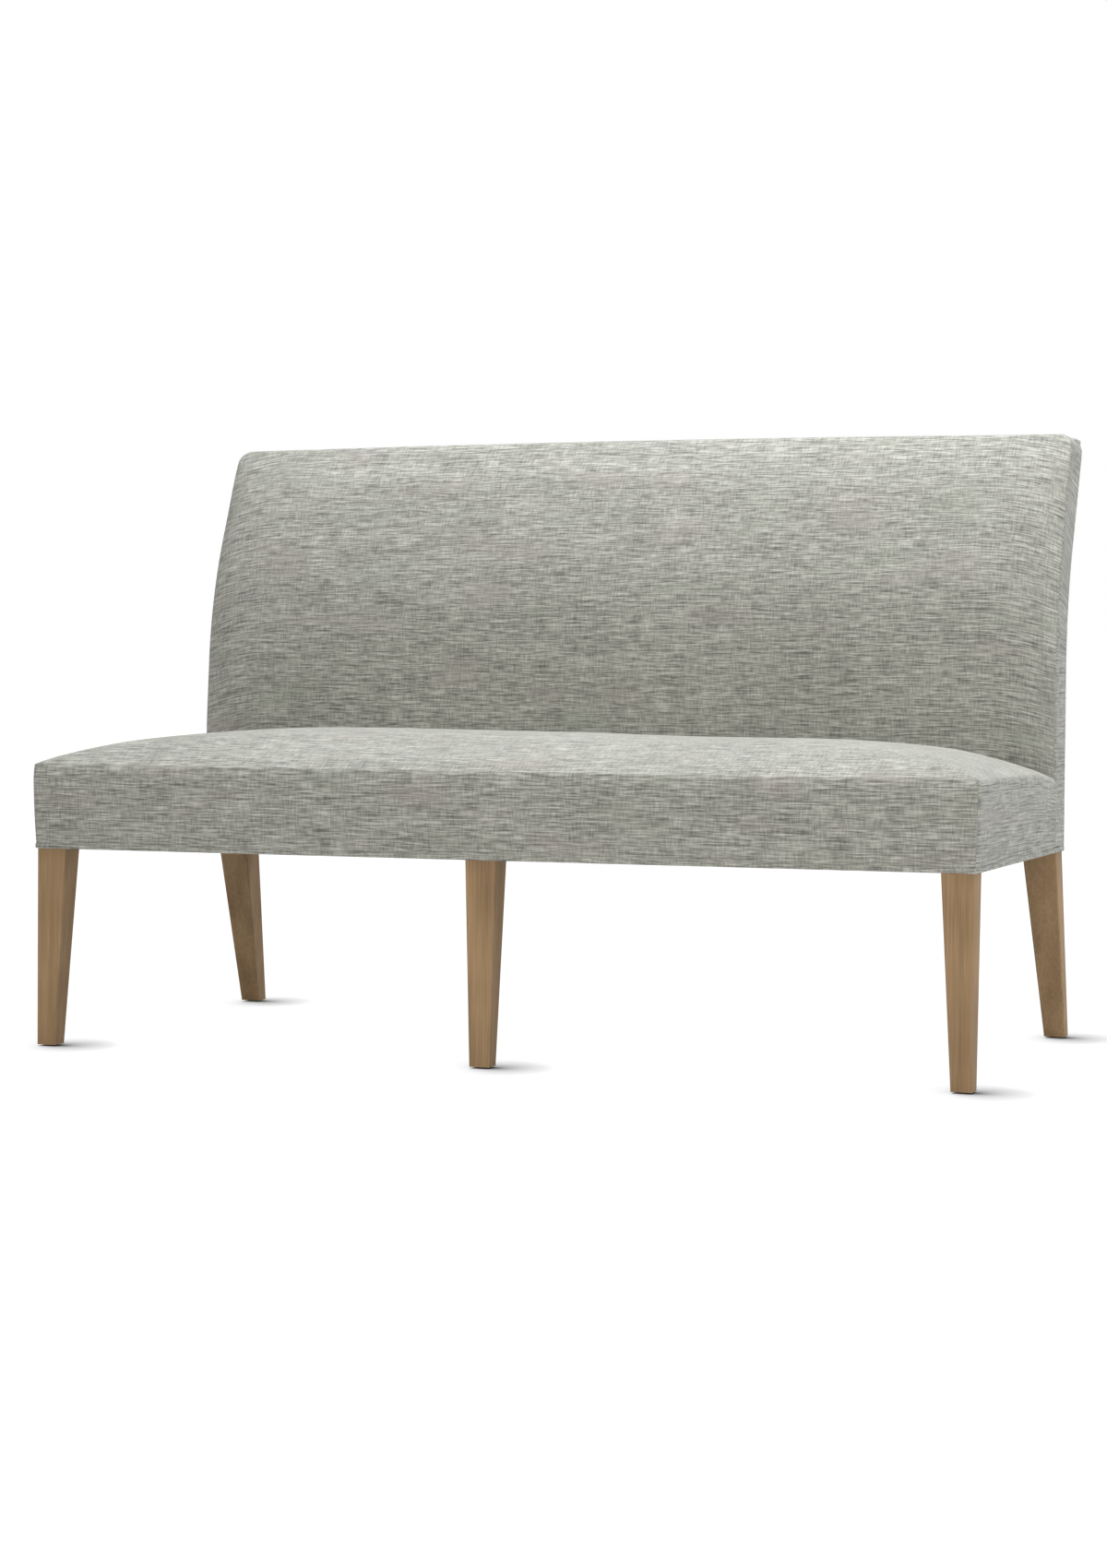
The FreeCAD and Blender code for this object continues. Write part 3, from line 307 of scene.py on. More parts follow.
@dataclass(frozen=True)
class SlubCloth:
    """The cover cloth: a heathered weave with slubby weft streaks and a faint warp."""

    dark: Colour = (0.150, 0.154, 0.136)
    middle: Colour = (0.345, 0.347, 0.307)
    light: Colour = (0.590, 0.588, 0.535)
    rosy: Colour = (0.385, 0.342, 0.318)
    mossy: Colour = (0.325, 0.350, 0.285)
    tone_stops: tuple[float, float, float] = (0.17, 0.5, 0.83)
    streak_cells: Cells = (14.0, 310.0, 1.0)
    streak_weight: float = 0.95
    thread_cells: Cells = (38.0, 500.0, 1.0)
    thread_weight: float = 1.1
    warp_cells: Cells = (360.0, 60.0, 1.0)
    warp_weight: float = 0.5
    cloud_cells: Cells = (4.5, 26.0, 1.0)
    cloud_weight: float = 0.30
    end_cells: Cells = (150.0, 2.5, 1.0)
    end_weight: float = 0.12
    tint_cells: Cells = (6.0, 17.0, 1.0)
    rosy_range: tuple[float, float] = (0.56, 0.73)
    rosy_share: float = 0.34
    mossy_range: tuple[float, float] = (0.44, 0.28)
    mossy_share: float = 0.22
    relief_weights: tuple[float, float, float] = (0.6, 0.8, 0.6)
    relief_depth: float = 0.0009
    relief_strength: float = 0.35
    rough: float = 0.88
    rough_spread: float = 0.2
    sheen: float = 0.12
    sheen_rough: float = 0.5
    # The seam line: its width and sharp core, the painted shade that darkens the yarn in its crease, and how
    # deep its bump sinks
    seam_half_width: float = 0.0013
    seam_core: float = 0.25
    seam_painted_shade: float = 0.2
    seam_depth: float = 0.8

    def material(self, name: str = "slub_cloth") -> bpy.types.Material:
        """Makes the material.

        Args:
            name: The material's name.

        Returns:
            The material.
        """
        graph = Graph(name)
        streak = graph.cloudy(graph.coordinates(self.streak_cells, cloth=True), detail=2.0, rough=0.6)
        thread = graph.cloudy(graph.coordinates(self.thread_cells, cloth=True), detail=1.0)
        warp = graph.cloudy(graph.coordinates(self.warp_cells, cloth=True), detail=1.0)
        cloud = graph.cloudy(graph.coordinates(self.cloud_cells, cloth=True), detail=3.0, rough=0.6)
        end = graph.cloudy(graph.coordinates(self.end_cells, cloth=True), detail=1.0)
        tone = graph.mixture(NOISE_MIDDLE, (
            (streak, self.streak_weight), (thread, self.thread_weight), (warp, self.warp_weight),
            (end, self.end_weight), (cloud, self.cloud_weight),
        ))
        low, middle, high = self.tone_stops
        yarn = graph.ramp(tone, ((low, self.dark), (high, self.light), (middle, self.middle)))
        tint = graph.cloudy(graph.coordinates(self.tint_cells, cloth=True), detail=1.0)
        rosy = graph.maths("MULTIPLY", graph.between(tint, *self.rosy_range), self.rosy_share)
        mossy = graph.maths("MULTIPLY", graph.between(tint, *self.mossy_range), self.mossy_share)
        yarn = graph.blend(rosy, yarn, self.rosy)
        yarn = graph.blend(mossy, yarn, self.mossy)
        seam = self.seam_line(graph)
        # Painted shade: the yarn darkens towards the dark tone along each seam, standing in for the shade in
        # its crease
        yarn = graph.blend(graph.maths("MULTIPLY", seam, self.seam_painted_shade), yarn, self.dark)
        height = graph.mixture(NOISE_MIDDLE, zip((streak, thread, warp), self.relief_weights))
        height = graph.maths("SUBTRACT", height, graph.maths("MULTIPLY", seam, self.seam_depth))
        graph.relief(height, self.relief_depth, self.relief_strength)
        rough = graph.mixture(self.rough, ((thread, self.rough_spread),))
        graph.set_shader(base_color=yarn, roughness=rough)
        graph.set_shader(sheen_weight=self.sheen, sheen_roughness=self.sheen_rough)
        return graph.material

    def seam_line(self, graph: Graph) -> bpy.types.NodeSocket:
        """A line that is 1 on a seam and 0 beside it; it sinks the seam's bump and paints shade into its
        crease.

        Args:
            graph: The material's node tree.

        Returns:
            The line's socket.
        """
        node = graph.tree.nodes.new("ShaderNodeAttribute")
        node.attribute_name = SEAM
        return graph.between(node.outputs["Fac"], self.seam_half_width, self.seam_half_width * self.seam_core)


@dataclass(frozen=True)
class Timber:
    """A wood finish with its grain along one axis."""

    pale: Colour
    dark: Colour
    along: Axis = Axis.UP
    rough: float = 0.5
    tone_stops: tuple[float, float] = (0.1, 0.9)
    figure_cells: tuple[float, float] = (34.0, 2.6)
    figure_weight: float = 1.0
    fibre_cells: tuple[float, float] = (420.0, 9.0)
    fibre_weight: float = 0.8
    mottle_cells: tuple[float, float] = (16.0, 10.0)
    mottle_weight: float = 0.7
    rough_spread: float = 0.2
    fibre_depth: float = 0.0002
    fibre_strength: float = 0.25
    gloss: float = 0.25

    def stretch(self, across: float, along: float) -> Cells:
        """Pattern cells to a metre, long in the direction of the grain.

        Args:
            across: Cells to a metre across the grain.
            along: Cells to a metre along the grain.

        Returns:
            The cells along each axis.
        """
        cells = [across, across, across]
        cells[self.along.value] = along
        return cells[0], cells[1], cells[2]

    def material(self, name: str) -> bpy.types.Material:
        """Makes the material.

        Args:
            name: The material's name.

        Returns:
            The material.
        """
        graph = Graph(name)
        figure = graph.cloudy(graph.coordinates(self.stretch(*self.figure_cells)), detail=3.0, rough=0.55)
        fibre = graph.cloudy(graph.coordinates(self.stretch(*self.fibre_cells)), detail=2.0)
        mottle = graph.cloudy(graph.coordinates(self.stretch(*self.mottle_cells)), detail=1.0)
        tone = graph.mixture(NOISE_MIDDLE, (
            (figure, self.figure_weight), (fibre, self.fibre_weight), (mottle, self.mottle_weight),
        ))
        graph.relief(fibre, self.fibre_depth, self.fibre_strength)
        rough = graph.mixture(self.rough, ((fibre, self.rough_spread),))
        grain = graph.ramp(tone, zip(self.tone_stops, (self.dark, self.pale)))
        graph.set_shader(base_color=grain, roughness=rough, specular_ior_level=self.gloss)
        return graph.material


@dataclass(frozen=True)
class PlainFinish:
    """A finish of two close tones with a fine relief: plain cloths, straps, steel and plastic."""

    dark: Colour
    light: Colour
    cells: Cells = (400.0, 400.0, 400.0)
    rough: float = 0.8
    metallic: float = 0.0
    tone_stops: tuple[float, float] = (0.15, 0.85)
    fine_weight: float = 1.0
    broad_cells: Cells = (18.0, 18.0, 18.0)
    broad_weight: float = 0.8
    rough_spread: float = 0.15
    relief_depth: float = 0.0003
    relief_strength: float = 0.4

    def material(self, name: str) -> bpy.types.Material:
        """Makes the material.

        Args:
            name: The material's name.

        Returns:
            The material.
        """
        graph = Graph(name)
        fine = graph.cloudy(graph.coordinates(self.cells), detail=2.0)
        broad = graph.cloudy(graph.coordinates(self.broad_cells), detail=2.0)
        tone = graph.mixture(NOISE_MIDDLE, ((fine, self.fine_weight), (broad, self.broad_weight)))
        graph.relief(fine, self.relief_depth, self.relief_strength)
        rough = graph.mixture(self.rough, ((fine, self.rough_spread),))
        shade = graph.ramp(tone, zip(self.tone_stops, (self.dark, self.light)))
        graph.set_shader(base_color=shade, roughness=rough, metallic=self.metallic)
        return graph.material


# The finishes of the frame, its straps and fasteners, and the cloth under the seat
LEG_WOOD = Timber((0.475, 0.312, 0.168), (0.228, 0.143, 0.071), rough=0.6)
BARE_WOOD = {axis: Timber((0.50, 0.36, 0.21), (0.36, 0.24, 0.13), axis, 0.75) for axis in Axis}
ZINC = PlainFinish((0.42, 0.42, 0.43), (0.62, 0.62, 0.63), rough=0.35, metallic=1.0)
WEBBING = PlainFinish((0.05, 0.04, 0.03), (0.26, 0.22, 0.17), (700.0, 700.0, 500.0))
HESSIAN = PlainFinish((0.24, 0.16, 0.08), (0.5, 0.37, 0.22), (650.0, 650.0, 650.0))
GLIDE_NYLON = PlainFinish((0.02, 0.018, 0.016), (0.05, 0.045, 0.04), rough=0.55)
BLACK_CLOTH = PlainFinish((0.008, 0.008, 0.009), (0.03, 0.03, 0.032), (900.0, 900.0, 900.0))


def graded(low: float, high: float, first: float, widest: float) -> list[float]:
    """Places between two ends, close together near the ends and wider apart in the middle.

    Args:
        low: The lower end.
        high: The upper end.
        first: The first step from each end.
        widest: The widest step.

    Returns:
        The places in order.
    """
    growth = 1.4
    middle = (high - low) / 2
    reaches: list[float] = []
    step = reach = first
    while reach < middle - widest / 2:
        reaches.append(reach)
        step = min(step * growth, widest)
        reach += step
    return [low + item for item in reaches] + [low + middle] + [high - item for item in reversed(reaches)]


def cut_across(bm: bmesh.types.BMesh, axis: Axis, places: Iterable[float]) -> None:
    """Cuts a mesh with planes across an axis.

    Args:
        bm: The mesh.
        axis: The axis that the planes stand across.
        places: Where the planes meet the axis.
    """
    along = axis.direction
    for place in places:
        everything = [*bm.verts, *bm.edges, *bm.faces]
        bmesh.ops.bisect_plane(bm, geom=everything, dist=TINY, plane_co=along * place, plane_no=along)


def block(low: Vector, high: Vector) -> bmesh.types.BMesh:
    """A new mesh that holds one block.

    Args:
        low: The block's lowest corner.
        high: Its highest corner.

    Returns:
        The mesh.
    """
    bm = bmesh.new()
    matrix = Matrix.Translation((low + high) / 2) @ Matrix.Diagonal((*(high - low), 1.0))
    bmesh.ops.create_cube(bm, size=1.0, matrix=matrix)
    return bm


def run(edge: bmesh.types.BMEdge, axis: Axis) -> float:
    """How far an edge runs along an axis, in metres."""
    return abs(edge.verts[0].co[axis.value] - edge.verts[1].co[axis.value])


def limited(share: float) -> float:
    """A share kept between 0 and 1."""
    return min(max(share, 0.0), 1.0)


def round_over(
    bm: bmesh.types.BMesh, edges: Iterable[bmesh.types.BMEdge], radius: float, segments: int,
) -> None:
    """Rounds edges of a mesh.

    Args:
        bm: The mesh.
        edges: The edges to round.
        radius: The radius, in metres.
        segments: How many faces go round each edge.
    """
    bmesh.ops.bevel(
        bm, geom=list(edges), offset=radius, offset_type="OFFSET", affect="EDGES",
        segments=segments, profile=0.5, material=-1,
    )


def push_up(bm: bmesh.types.BMesh, faces: list[bmesh.types.BMFace], rise: float) -> None:
    """Pushes faces of a mesh straight up as the roof of a hollow, and makes its walls.

    Args:
        bm: The mesh.
        faces: The faces, which lie level.
        rise: How far they go up, in metres.
    """
    raised = bmesh.ops.extrude_face_region(bm, geom=faces)["geom"]
    lifted = [item for item in raised if isinstance(item, bmesh.types.BMVert)]
    bmesh.ops.translate(bm, vec=(0.0, 0.0, rise), verts=lifted)


def finished(name: str, bm: bmesh.types.BMesh, material: bpy.types.Material) -> bpy.types.Object:
    """Turns a mesh into a smooth piece that rides on the bench.

    Args:
        name: The piece's name.
        bm: The mesh, which is used up.
        material: The piece's material.

    Returns:
        The piece.
    """
    mesh = bpy.data.meshes.new(name)
    bm.to_mesh(mesh)
    bm.free()
    mesh.shade_smooth()
    mesh.materials.append(material)
    piece = bpy.data.objects.new(name, mesh)
    bpy.context.scene.collection.objects.link(piece)
    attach(piece, BODY)
    return piece


def subdivide(piece: bpy.types.Object, levels: int = 1) -> None:
    """Gives a piece a subdivision surface.

    Args:
        piece: The piece.
        levels: How often its faces are divided.
    """
    modifier = piece.modifiers.new("smooth", "SUBSURF")
    modifier.levels = levels
    modifier.render_levels = levels


@dataclass
class Padding:
    """How a padded cover settles: blown up a little against its sewn edges."""

    pressure: float = 4.0
    stiffness: float = 8.0
    frames: int = 20
    cap: float = 0.004

    def settle(self, piece: bpy.types.Object, held: Callable[[Vector], bool]) -> None:
        """Blows a cover up as cloth and keeps its shape.

        Args:
            piece: The cover, a closed mesh.
            held: Tells which points are sewn or tacked down.
        """
        scene = bpy.context.scene
        group = piece.vertex_groups.new(name="held")
        group.add([vertex.index for vertex in piece.data.vertices if held(vertex.co)], 1.0, "REPLACE")
        cloth = piece.modifiers.new("settle", "CLOTH")
        cloth.settings.vertex_group_mass = group.name
        cloth.settings.use_pressure = True
        cloth.settings.uniform_pressure_force = self.pressure
        cloth.settings.effector_weights.gravity = 0.0
        cloth.settings.bending_stiffness = self.stiffness
        cloth.point_cache.frame_start = 1
        cloth.point_cache.frame_end = self.frames
        for frame in range(1, self.frames + 1):
            scene.frame_set(frame)
        blown = piece.evaluated_get(bpy.context.evaluated_depsgraph_get())
        targets = [vertex.co.copy() for vertex in blown.data.vertices]
        piece.modifiers.remove(cloth)
        piece.vertex_groups.remove(group)
        for vertex, target in zip(piece.data.vertices, targets):
            shift = target - vertex.co
            if shift.length > self.cap:
                shift = shift.normalized() * self.cap
            vertex.co += shift
        scene.frame_set(1)


def lump(place: Vector, cells: float, height: float) -> float:
    """A soft unevenness of hand-laid filling, in metres."""
    return noise.noise(place * cells) * height


@dataclass
class SeatPad:
    """The seat: crowned foam under one cloth over front and top, with sewn side panels.

    Lengths are in metres. The frame gives the first five, the photo the crown's form.
    """

    half: float
    front: float
    rear: float
    foot: float
    top: float
    crown: float = 0.055
    dome: float = 0.004
    crown_power: float = 0.54
    run_side: float = 0.390
    run_front: float = 0.300
    rear_sag: float = 0.005
    rear_slope: float = 0.024
    slope_reach: float = 0.5
    uneven: float = 0.0045
    front_roll: float = 0.004
    roll_height: float = 0.020
    roll_reach: float = 0.050
    draw_in: float = 0.004
    corner: float = 0.012
    wall: float = 0.0037
    tuck: float = 0.0015
    deck: float = 0.4059
    swell_room: float = 0.003
    held_rise: float = 0.006
    held_rear: float = 0.004
    lump_height: float = 0.0012
    lump_cells: float = 7.0
    blend_width: float = 0.25
    corner_segments: int = 4
    plan_steps: tuple[float, float] = (0.002, 0.016)
    border_steps: tuple[float, float] = (0.004, 0.015)
    nodes: tuple[str, ...] = (
        "seat_top_cover", "left_seat_side_cover", "right_seat_side_cover", "seat_wadding", "seat_foam",
    )

    @classmethod
    def from_frame(cls) -> "SeatPad":
        """The seat at the size of its covers in the frame."""
        low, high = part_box("seat_top_cover")
        return cls(half=high.x, front=low.y, rear=high.y, foot=low.z - cls.tuck, top=high.z)

    @property
    def edge(self) -> float:
        """The height where the border ends and the crown starts."""
        return self.top - self.crown

    def build(self, cloth: bpy.types.Material) -> bpy.types.Object:
        """Makes the padded seat.

        Args:
            cloth: The cover's material.

        Returns:
            The piece.
        """
        bm = block(Vector((-self.half, self.front, self.foot)), Vector((self.half, self.rear, self.edge)))
        corners = [edge for edge in bm.edges if run(edge, Axis.UP) > TINY and edge.verts[0].co.y < 0]
        round_over(bm, corners, self.corner, self.corner_segments)
        inner = self.half - self.wall
        cut_across(bm, Axis.DEPTH, [*graded(self.front, self.rear, *self.plan_steps), self.front + self.wall])
        cut_across(bm, Axis.ACROSS, [*graded(-self.half, self.half, *self.plan_steps), -inner, inner])
        self.hollow(bm, inner)
        cut_across(bm, Axis.UP, graded(self.foot, self.edge, *self.border_steps))
        self.lay_cloth(bm)
        for vertex in bm.verts:
            vertex.co = self.shaped(vertex.co)
        piece = finished("seat_pad", bm, cloth)
        Padding().settle(piece, self.is_held)
        subdivide(piece)
        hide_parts(*self.nodes)
        return piece

    def lay_cloth(self, bm: bmesh.types.BMesh) -> None:
        """Writes the cloth's own map and how far each point is from the corner seams.

        Args:
            bm: The plain block's mesh.
        """
        layer = bm.loops.layers.uv.new(CLOTH_MAP)
        seam = bm.verts.layers.float.new(SEAM)
        border = self.edge - self.foot
        turn = self.corner * (1 - DIAGONAL)
        bm.normal_update()
        for vertex in bm.verts:
            across = abs(vertex.co.x) - (self.half - turn)
            depth = vertex.co.y - (self.front + turn)
            topmost = vertex.co.z > self.edge - TINY
            inside = topmost and all(face.normal.z > LEVEL for face in vertex.link_faces)
            vertex[seam] = NO_SEAM if inside else math.hypot(across, depth)
        for face in bm.faces:
            side = abs(face.normal.x) > DIAGONAL
            over = face.normal.z > LEVEL
            for loop in face.loops:
                place = loop.vert.co
                if side:
                    start = math.copysign(Cut.SEAT_SIDE.value, place.x)
                    loop[layer].uv = (place.y * SIDE_STRETCH + start, place.z)
                elif over:
                    loop[layer].uv = (place.x, self.foot + border + place.y - self.front)
                else:
                    loop[layer].uv = (place.x, place.z)

    def hollow(self, bm: bmesh.types.BMesh, inner: float) -> None:
        """Opens the seat from below and behind for the frame and its webbing.

        Args:
            bm: The plain block's mesh.
            inner: How far the opening reaches to each side.
        """
        under = [
            face for face in bm.faces
            if face.normal.z < -LEVEL and abs(face.calc_center_median().x) < inner
            and face.calc_center_median().y > self.front + self.wall
        ]
        push_up(bm, under, self.deck - self.foot)
        for vertex in bm.verts:
            behind = vertex.co.y > self.rear - TINY and abs(vertex.co.x) < inner + TINY
            if behind and vertex.co.z < self.deck:
                vertex.co.z = self.deck
        bmesh.ops.remove_doubles(bm, verts=bm.verts, dist=TINY)

    def shaped(self, place: Vector) -> Vector:
        """Where a point of the plain block lies on the crowned seat.

        Args:
            place: The point on the block.

        Returns:
            The point on the seat.
        """
        share = min((place.z - self.foot) / (self.edge - self.foot), 1.0)
        drawn = self.draw_in * (1 - share) ** 2
        outward = max(abs(place.x) - (self.half - 2 * self.corner), 0.0) / (2 * self.corner)
        forward = max(self.front + 2 * self.corner - place.y, 0.0) / (2 * self.corner)
        x = place.x - math.copysign(drawn * outward, place.x)
        y = place.y + drawn * forward
        z = place.z
        if place.z > self.edge - TINY:
            across = (self.half - abs(place.x)) / self.run_side
            fall = self.rounded_fall(across, (place.y - self.front) / self.run_front)
            bulge = (1 - (1 - fall) ** 2) ** self.crown_power
            z += (self.crown + self.dome - self.swell_room) * bulge - self.sag(place)
            lean = self.uneven * math.sin(math.pi * place.x / self.half)
            z += (lump(place, self.lump_cells, self.lump_height) - lean) * fall
            y += self.front_roll * max(1 - (place.y - self.front) / self.roll_reach, 0.0) ** 2
        else:
            roll = max(place.z - (self.edge - self.roll_height), 0.0) / self.roll_height
            y += self.front_roll * roll ** 2 * forward
            if abs(place.x) > self.half - self.wall / 2:
                z -= self.sag(place) * share
        return Vector((x, y, z))

    def sag(self, place: Vector) -> float:
        """How far the seat falls towards the back, more at its ends.

        Args:
            place: The point on the plain block.

        Returns:
            The fall, in metres.
        """
        middle = (self.front + self.rear) / 2
        along = max(place.y - middle, 0.0) / (self.rear - middle)
        return (self.rear_sag + self.rear_slope * min(abs(place.x), self.slope_reach)) * along ** 2

    def rounded_fall(self, across: float, along: float) -> float:
        """The lesser of two shares, blended round where they are close.

        Args:
            across: The share of the crown's run from the side.
            along: The share of its run from the front.

        Returns:
            The blended share, from 0 to 1.
        """
        width = self.blend_width
        across, along = limited(across), limited(along)
        near = max(width - abs(across - along), 0.0) / width
        least = min(across, along)
        return max(least - near ** 2 * width / 4 * min(least / width, 1.0), 0.0)

    def is_held(self, place: Vector) -> bool:
        """Whether a point is on the stretched border, below the deck or against the back."""
        return place.z < self.edge + self.held_rise or place.y > self.rear - self.held_rear


@dataclass
class BackPad:
    """The back: a padded cover pulled over its bent frame, with sewn gussets at its sides.

    Lengths are in metres, along the back before it is bent. The frame gives the first four.
    """

    half: float
    front: float
    rear: float
    foot: float
    bend: float = 0.590
    bend_radius: float = 0.450
    lean: float = math.radians(26.0)
    lean_run: float = 0.1592
    crown: float = 0.014
    crown_run: float = 0.160
    crown_start: float = 0.60
    crown_peak: float = 0.84
    top_corner: float = 0.024
    edge_round: float = 0.007
    top_roll: float = 0.085
    top_roll_depth: float = 0.018
    top_bow: float = 0.005
    soft_edge: float = 0.014
    soft_run: float = 0.035
    soft_start: float = 0.5
    wall: float = 0.0037
    tuck: float = 0.0015
    frame_front: float = 0.0490
    deck: float = 0.4059
    droop: float = 0.022
    droop_run: float = 0.120
    lump_height: float = 0.0012
    lump_cells: float = 6.0
    roll_at_sides: float = 0.4
    seam_fade: float = 0.25
    corner_segments: int = 6
    edge_segments: int = 4
    depth_steps: tuple[float, float] = (0.01, 0.016)
    face_steps: tuple[float, float] = (0.008, 0.016)
    held_foot: float = 0.03
    held_depth: float = 0.03
    held_side: float = 0.004
    swell_cap: float = 0.003
    nodes: tuple[str, ...] = (
        "inside_back_cover", "outside_back_cover", "left_back_gusset", "right_back_gusset",
        "back_wadding", "back_foam",
    )

    @classmethod
    def from_frame(cls) -> "BackPad":
        """The back at the size of its gussets in the frame.

        Returns:
            The back.
        """
        low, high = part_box("right_back_gusset")
        seat_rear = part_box("seat_top_cover")[1].y
        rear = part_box("rear_rail")[1].y
        soft_gap, layers = 0.0003, 0.004
        return cls(half=high.x, front=seat_rear + soft_gap, rear=rear + layers, foot=low.z - cls.tuck)

    @property
    def top(self) -> float:
        """The height of the back before it is bent."""
        return self.bend + self.bend_radius * self.lean + self.lean_run

    def build(self, cloth: bpy.types.Material) -> bpy.types.Object:
        """Makes the padded back.

        Args:
            cloth: The cover's material.

        Returns:
            The piece.
        """
        bm = block(Vector((-self.half, self.front, self.foot)), Vector((self.half, self.rear, self.top)))
        crests = [
            edge for edge in bm.edges
            if all(vertex.co.z > self.top - TINY for vertex in edge.verts) and run(edge, Axis.DEPTH) > TINY
        ]
        round_over(bm, crests, self.top_corner, self.corner_segments)
        rims = [
            edge for edge in bm.edges
            if any(vertex.co.z > self.foot + TINY for vertex in edge.verts) and run(edge, Axis.DEPTH) < TINY
        ]
        round_over(bm, rims, self.edge_round, self.edge_segments)
        inner = self.half - self.wall
        hollow_front = self.rear - self.frame_front
        hollow_rear = self.rear - self.wall
        depths = graded(self.front, self.rear, *self.depth_steps)
        cut_across(bm, Axis.DEPTH, [*depths, hollow_front, hollow_rear])
        cut_across(bm, Axis.ACROSS, [*graded(-self.half, self.half, *self.face_steps), -inner, inner])
        self.hollow(bm, inner, hollow_front, hollow_rear)
        cut_across(bm, Axis.UP, graded(self.foot, self.top, *self.face_steps))
        self.lay_cloth(bm)
        for vertex in bm.verts:
            vertex.co = self.bent(self.padded_out(vertex.co, hollow_front))
        piece = finished("back_pad", bm, cloth)
        Padding(cap=self.swell_cap).settle(piece, self.is_held)
        subdivide(piece)
        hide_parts(*self.nodes)
        return piece

    def seam_distance(self, place: Vector) -> float:
        """How far a point of the plain block is from the nearest gusset seam.

        Args:
            place: The point on the block.

        Returns:
            The distance, in metres.
        """
        turn = self.edge_round * (1 - DIAGONAL)
        centre_x = self.half - self.top_corner
        centre_z = self.top - self.top_corner
        across = abs(place.x)
        if place.z < centre_z:
            beside = across - (self.half - turn)
        elif across > centre_x:
            beside = math.hypot(across - centre_x, place.z - centre_z) - (self.top_corner - turn)
        else:
            beside = place.z - (self.top - turn)
        before = math.hypot(beside, place.y - (self.front + turn))
        behind = math.hypot(beside, place.y - (self.rear - turn))
        if place.z > centre_z and across < centre_x:
            before += (centre_x - across) * self.seam_fade
        return min(before, behind)

    def lay_cloth(self, bm: bmesh.types.BMesh) -> None:
        """Writes the cloth's own map and how far each point is from the gusset seams.

        Args:
            bm: The plain block's mesh.
        """
        layer = bm.loops.layers.uv.new(CLOTH_MAP)
        seam = bm.verts.layers.float.new(SEAM)
        bm.normal_update()
        for vertex in bm.verts:
            vertex[seam] = self.seam_distance(vertex.co)
        front_arc = self.bend_radius + self.rear - self.front
        for face in bm.faces:
            side = abs(face.normal.x) > DIAGONAL
            over = face.normal.z > LEVEL
            behind = face.normal.y > DIAGONAL
            for loop in face.loops:
                place = loop.vert.co
                arc = min(max(place.z - self.bend, 0.0) / self.bend_radius, self.lean)
                climb = place.z + arc * (front_arc - self.bend_radius)
                reach = self.half - abs(place.x)
                sag = self.droop * max(1 - reach / self.droop_run, 0.0) ** 2
                if side:
                    start = math.copysign(Cut.BACK_SIDE.value, place.x)
                    loop[layer].uv = (place.y * SIDE_STRETCH + start, place.z)
                elif behind:
                    loop[layer].uv = (place.x + Cut.OUTSIDE_BACK.value, place.z)
                elif over:
                    loop[layer].uv = (place.x, climb + sag + place.y - self.front)
                else:
                    loop[layer].uv = (place.x, climb + sag)

    def hollow(self, bm: bmesh.types.BMesh, inner: float, hollow_front: float, hollow_rear: float) -> None:
        """Opens the back from below for its posts, rails and webbing.

        Args:
            bm: The plain block's mesh.
            inner: How far the opening reaches to each side.
            hollow_front: Where it starts in depth.
            hollow_rear: Where it ends in depth.
        """
        under = []
        for face in bm.faces:
            middle = face.calc_center_median()
            if face.normal.z < -LEVEL and abs(middle.x) < inner and hollow_front < middle.y < hollow_rear:
                under.append(face)
        push_up(bm, under, self.top - self.wall - self.foot)
        for vertex in bm.verts:
            before = vertex.co.y < hollow_front + TINY and abs(vertex.co.x) < inner + TINY
            if before and vertex.co.z < self.deck:
                vertex.co.z = self.deck
        bmesh.ops.remove_doubles(bm, verts=bm.verts, dist=TINY)

    def padded_out(self, place: Vector, hollow_front: float) -> Vector:
        """A point of the plain block with the filling's crown and the rolled top edge.

        Args:
            place: The point on the block.
            hollow_front: The depth at which the frame starts, behind which nothing swells.

        Returns:
            The point on the padded block.
        """
        if place.y > hollow_front - TINY:
            return place
        share = (hollow_front - place.y) / (hollow_front - self.front)
        reach = self.half - abs(place.x)
        swell = 1 - (1 - min(reach / self.crown_run, 1.0)) ** 2
        rising = limited((place.z - self.crown_start) / (self.crown_peak - self.crown_start))
        falling = max(place.z - self.crown_peak, 0.0) / (self.top - self.crown_peak)
        growth = math.sin(math.pi / 2 * rising) ** 2 * (1 - falling ** 2)
        forward = self.crown * swell * growth + lump(place, self.lump_cells, self.lump_height) * swell
        roll = limited((place.z - (self.top - self.top_roll)) / self.top_roll)
        rolled = self.roll_at_sides + (1 - self.roll_at_sides) * swell
        forward -= self.top_roll_depth * rolled * roll ** 2
        upward = limited((place.z - self.soft_start) / (self.top - self.soft_start))
        forward -= self.soft_edge * max(1 - reach / self.soft_run, 0.0) ** 2 * math.sin(math.pi * upward)
        return place - Vector((0.0, forward * share, 0.0))

    def bent(self, place: Vector) -> Vector:
        """Where a point of the straight back lies once the back is bent and its top made level.

        Args:
            place: The point on the straight back.

        Returns:
            The point on the bent back.
        """
        over = place.z - self.bend
        if over <= 0:
            return place
        turn = min(over / self.bend_radius, self.lean)
        reach = self.bend_radius + self.rear - place.y
        straight = over - turn * self.bend_radius
        straight *= 1 + (place.y - self.front) * math.tan(self.lean) / self.lean_run
        y = self.rear + self.bend_radius - reach * math.cos(turn) + straight * math.sin(turn)
        z = self.bend + reach * math.sin(turn) + straight * math.cos(turn)
        z += self.top_bow * (1 - (place.x / self.half) ** 2) * over / (self.top - self.bend)
        return Vector((place.x, y, z))

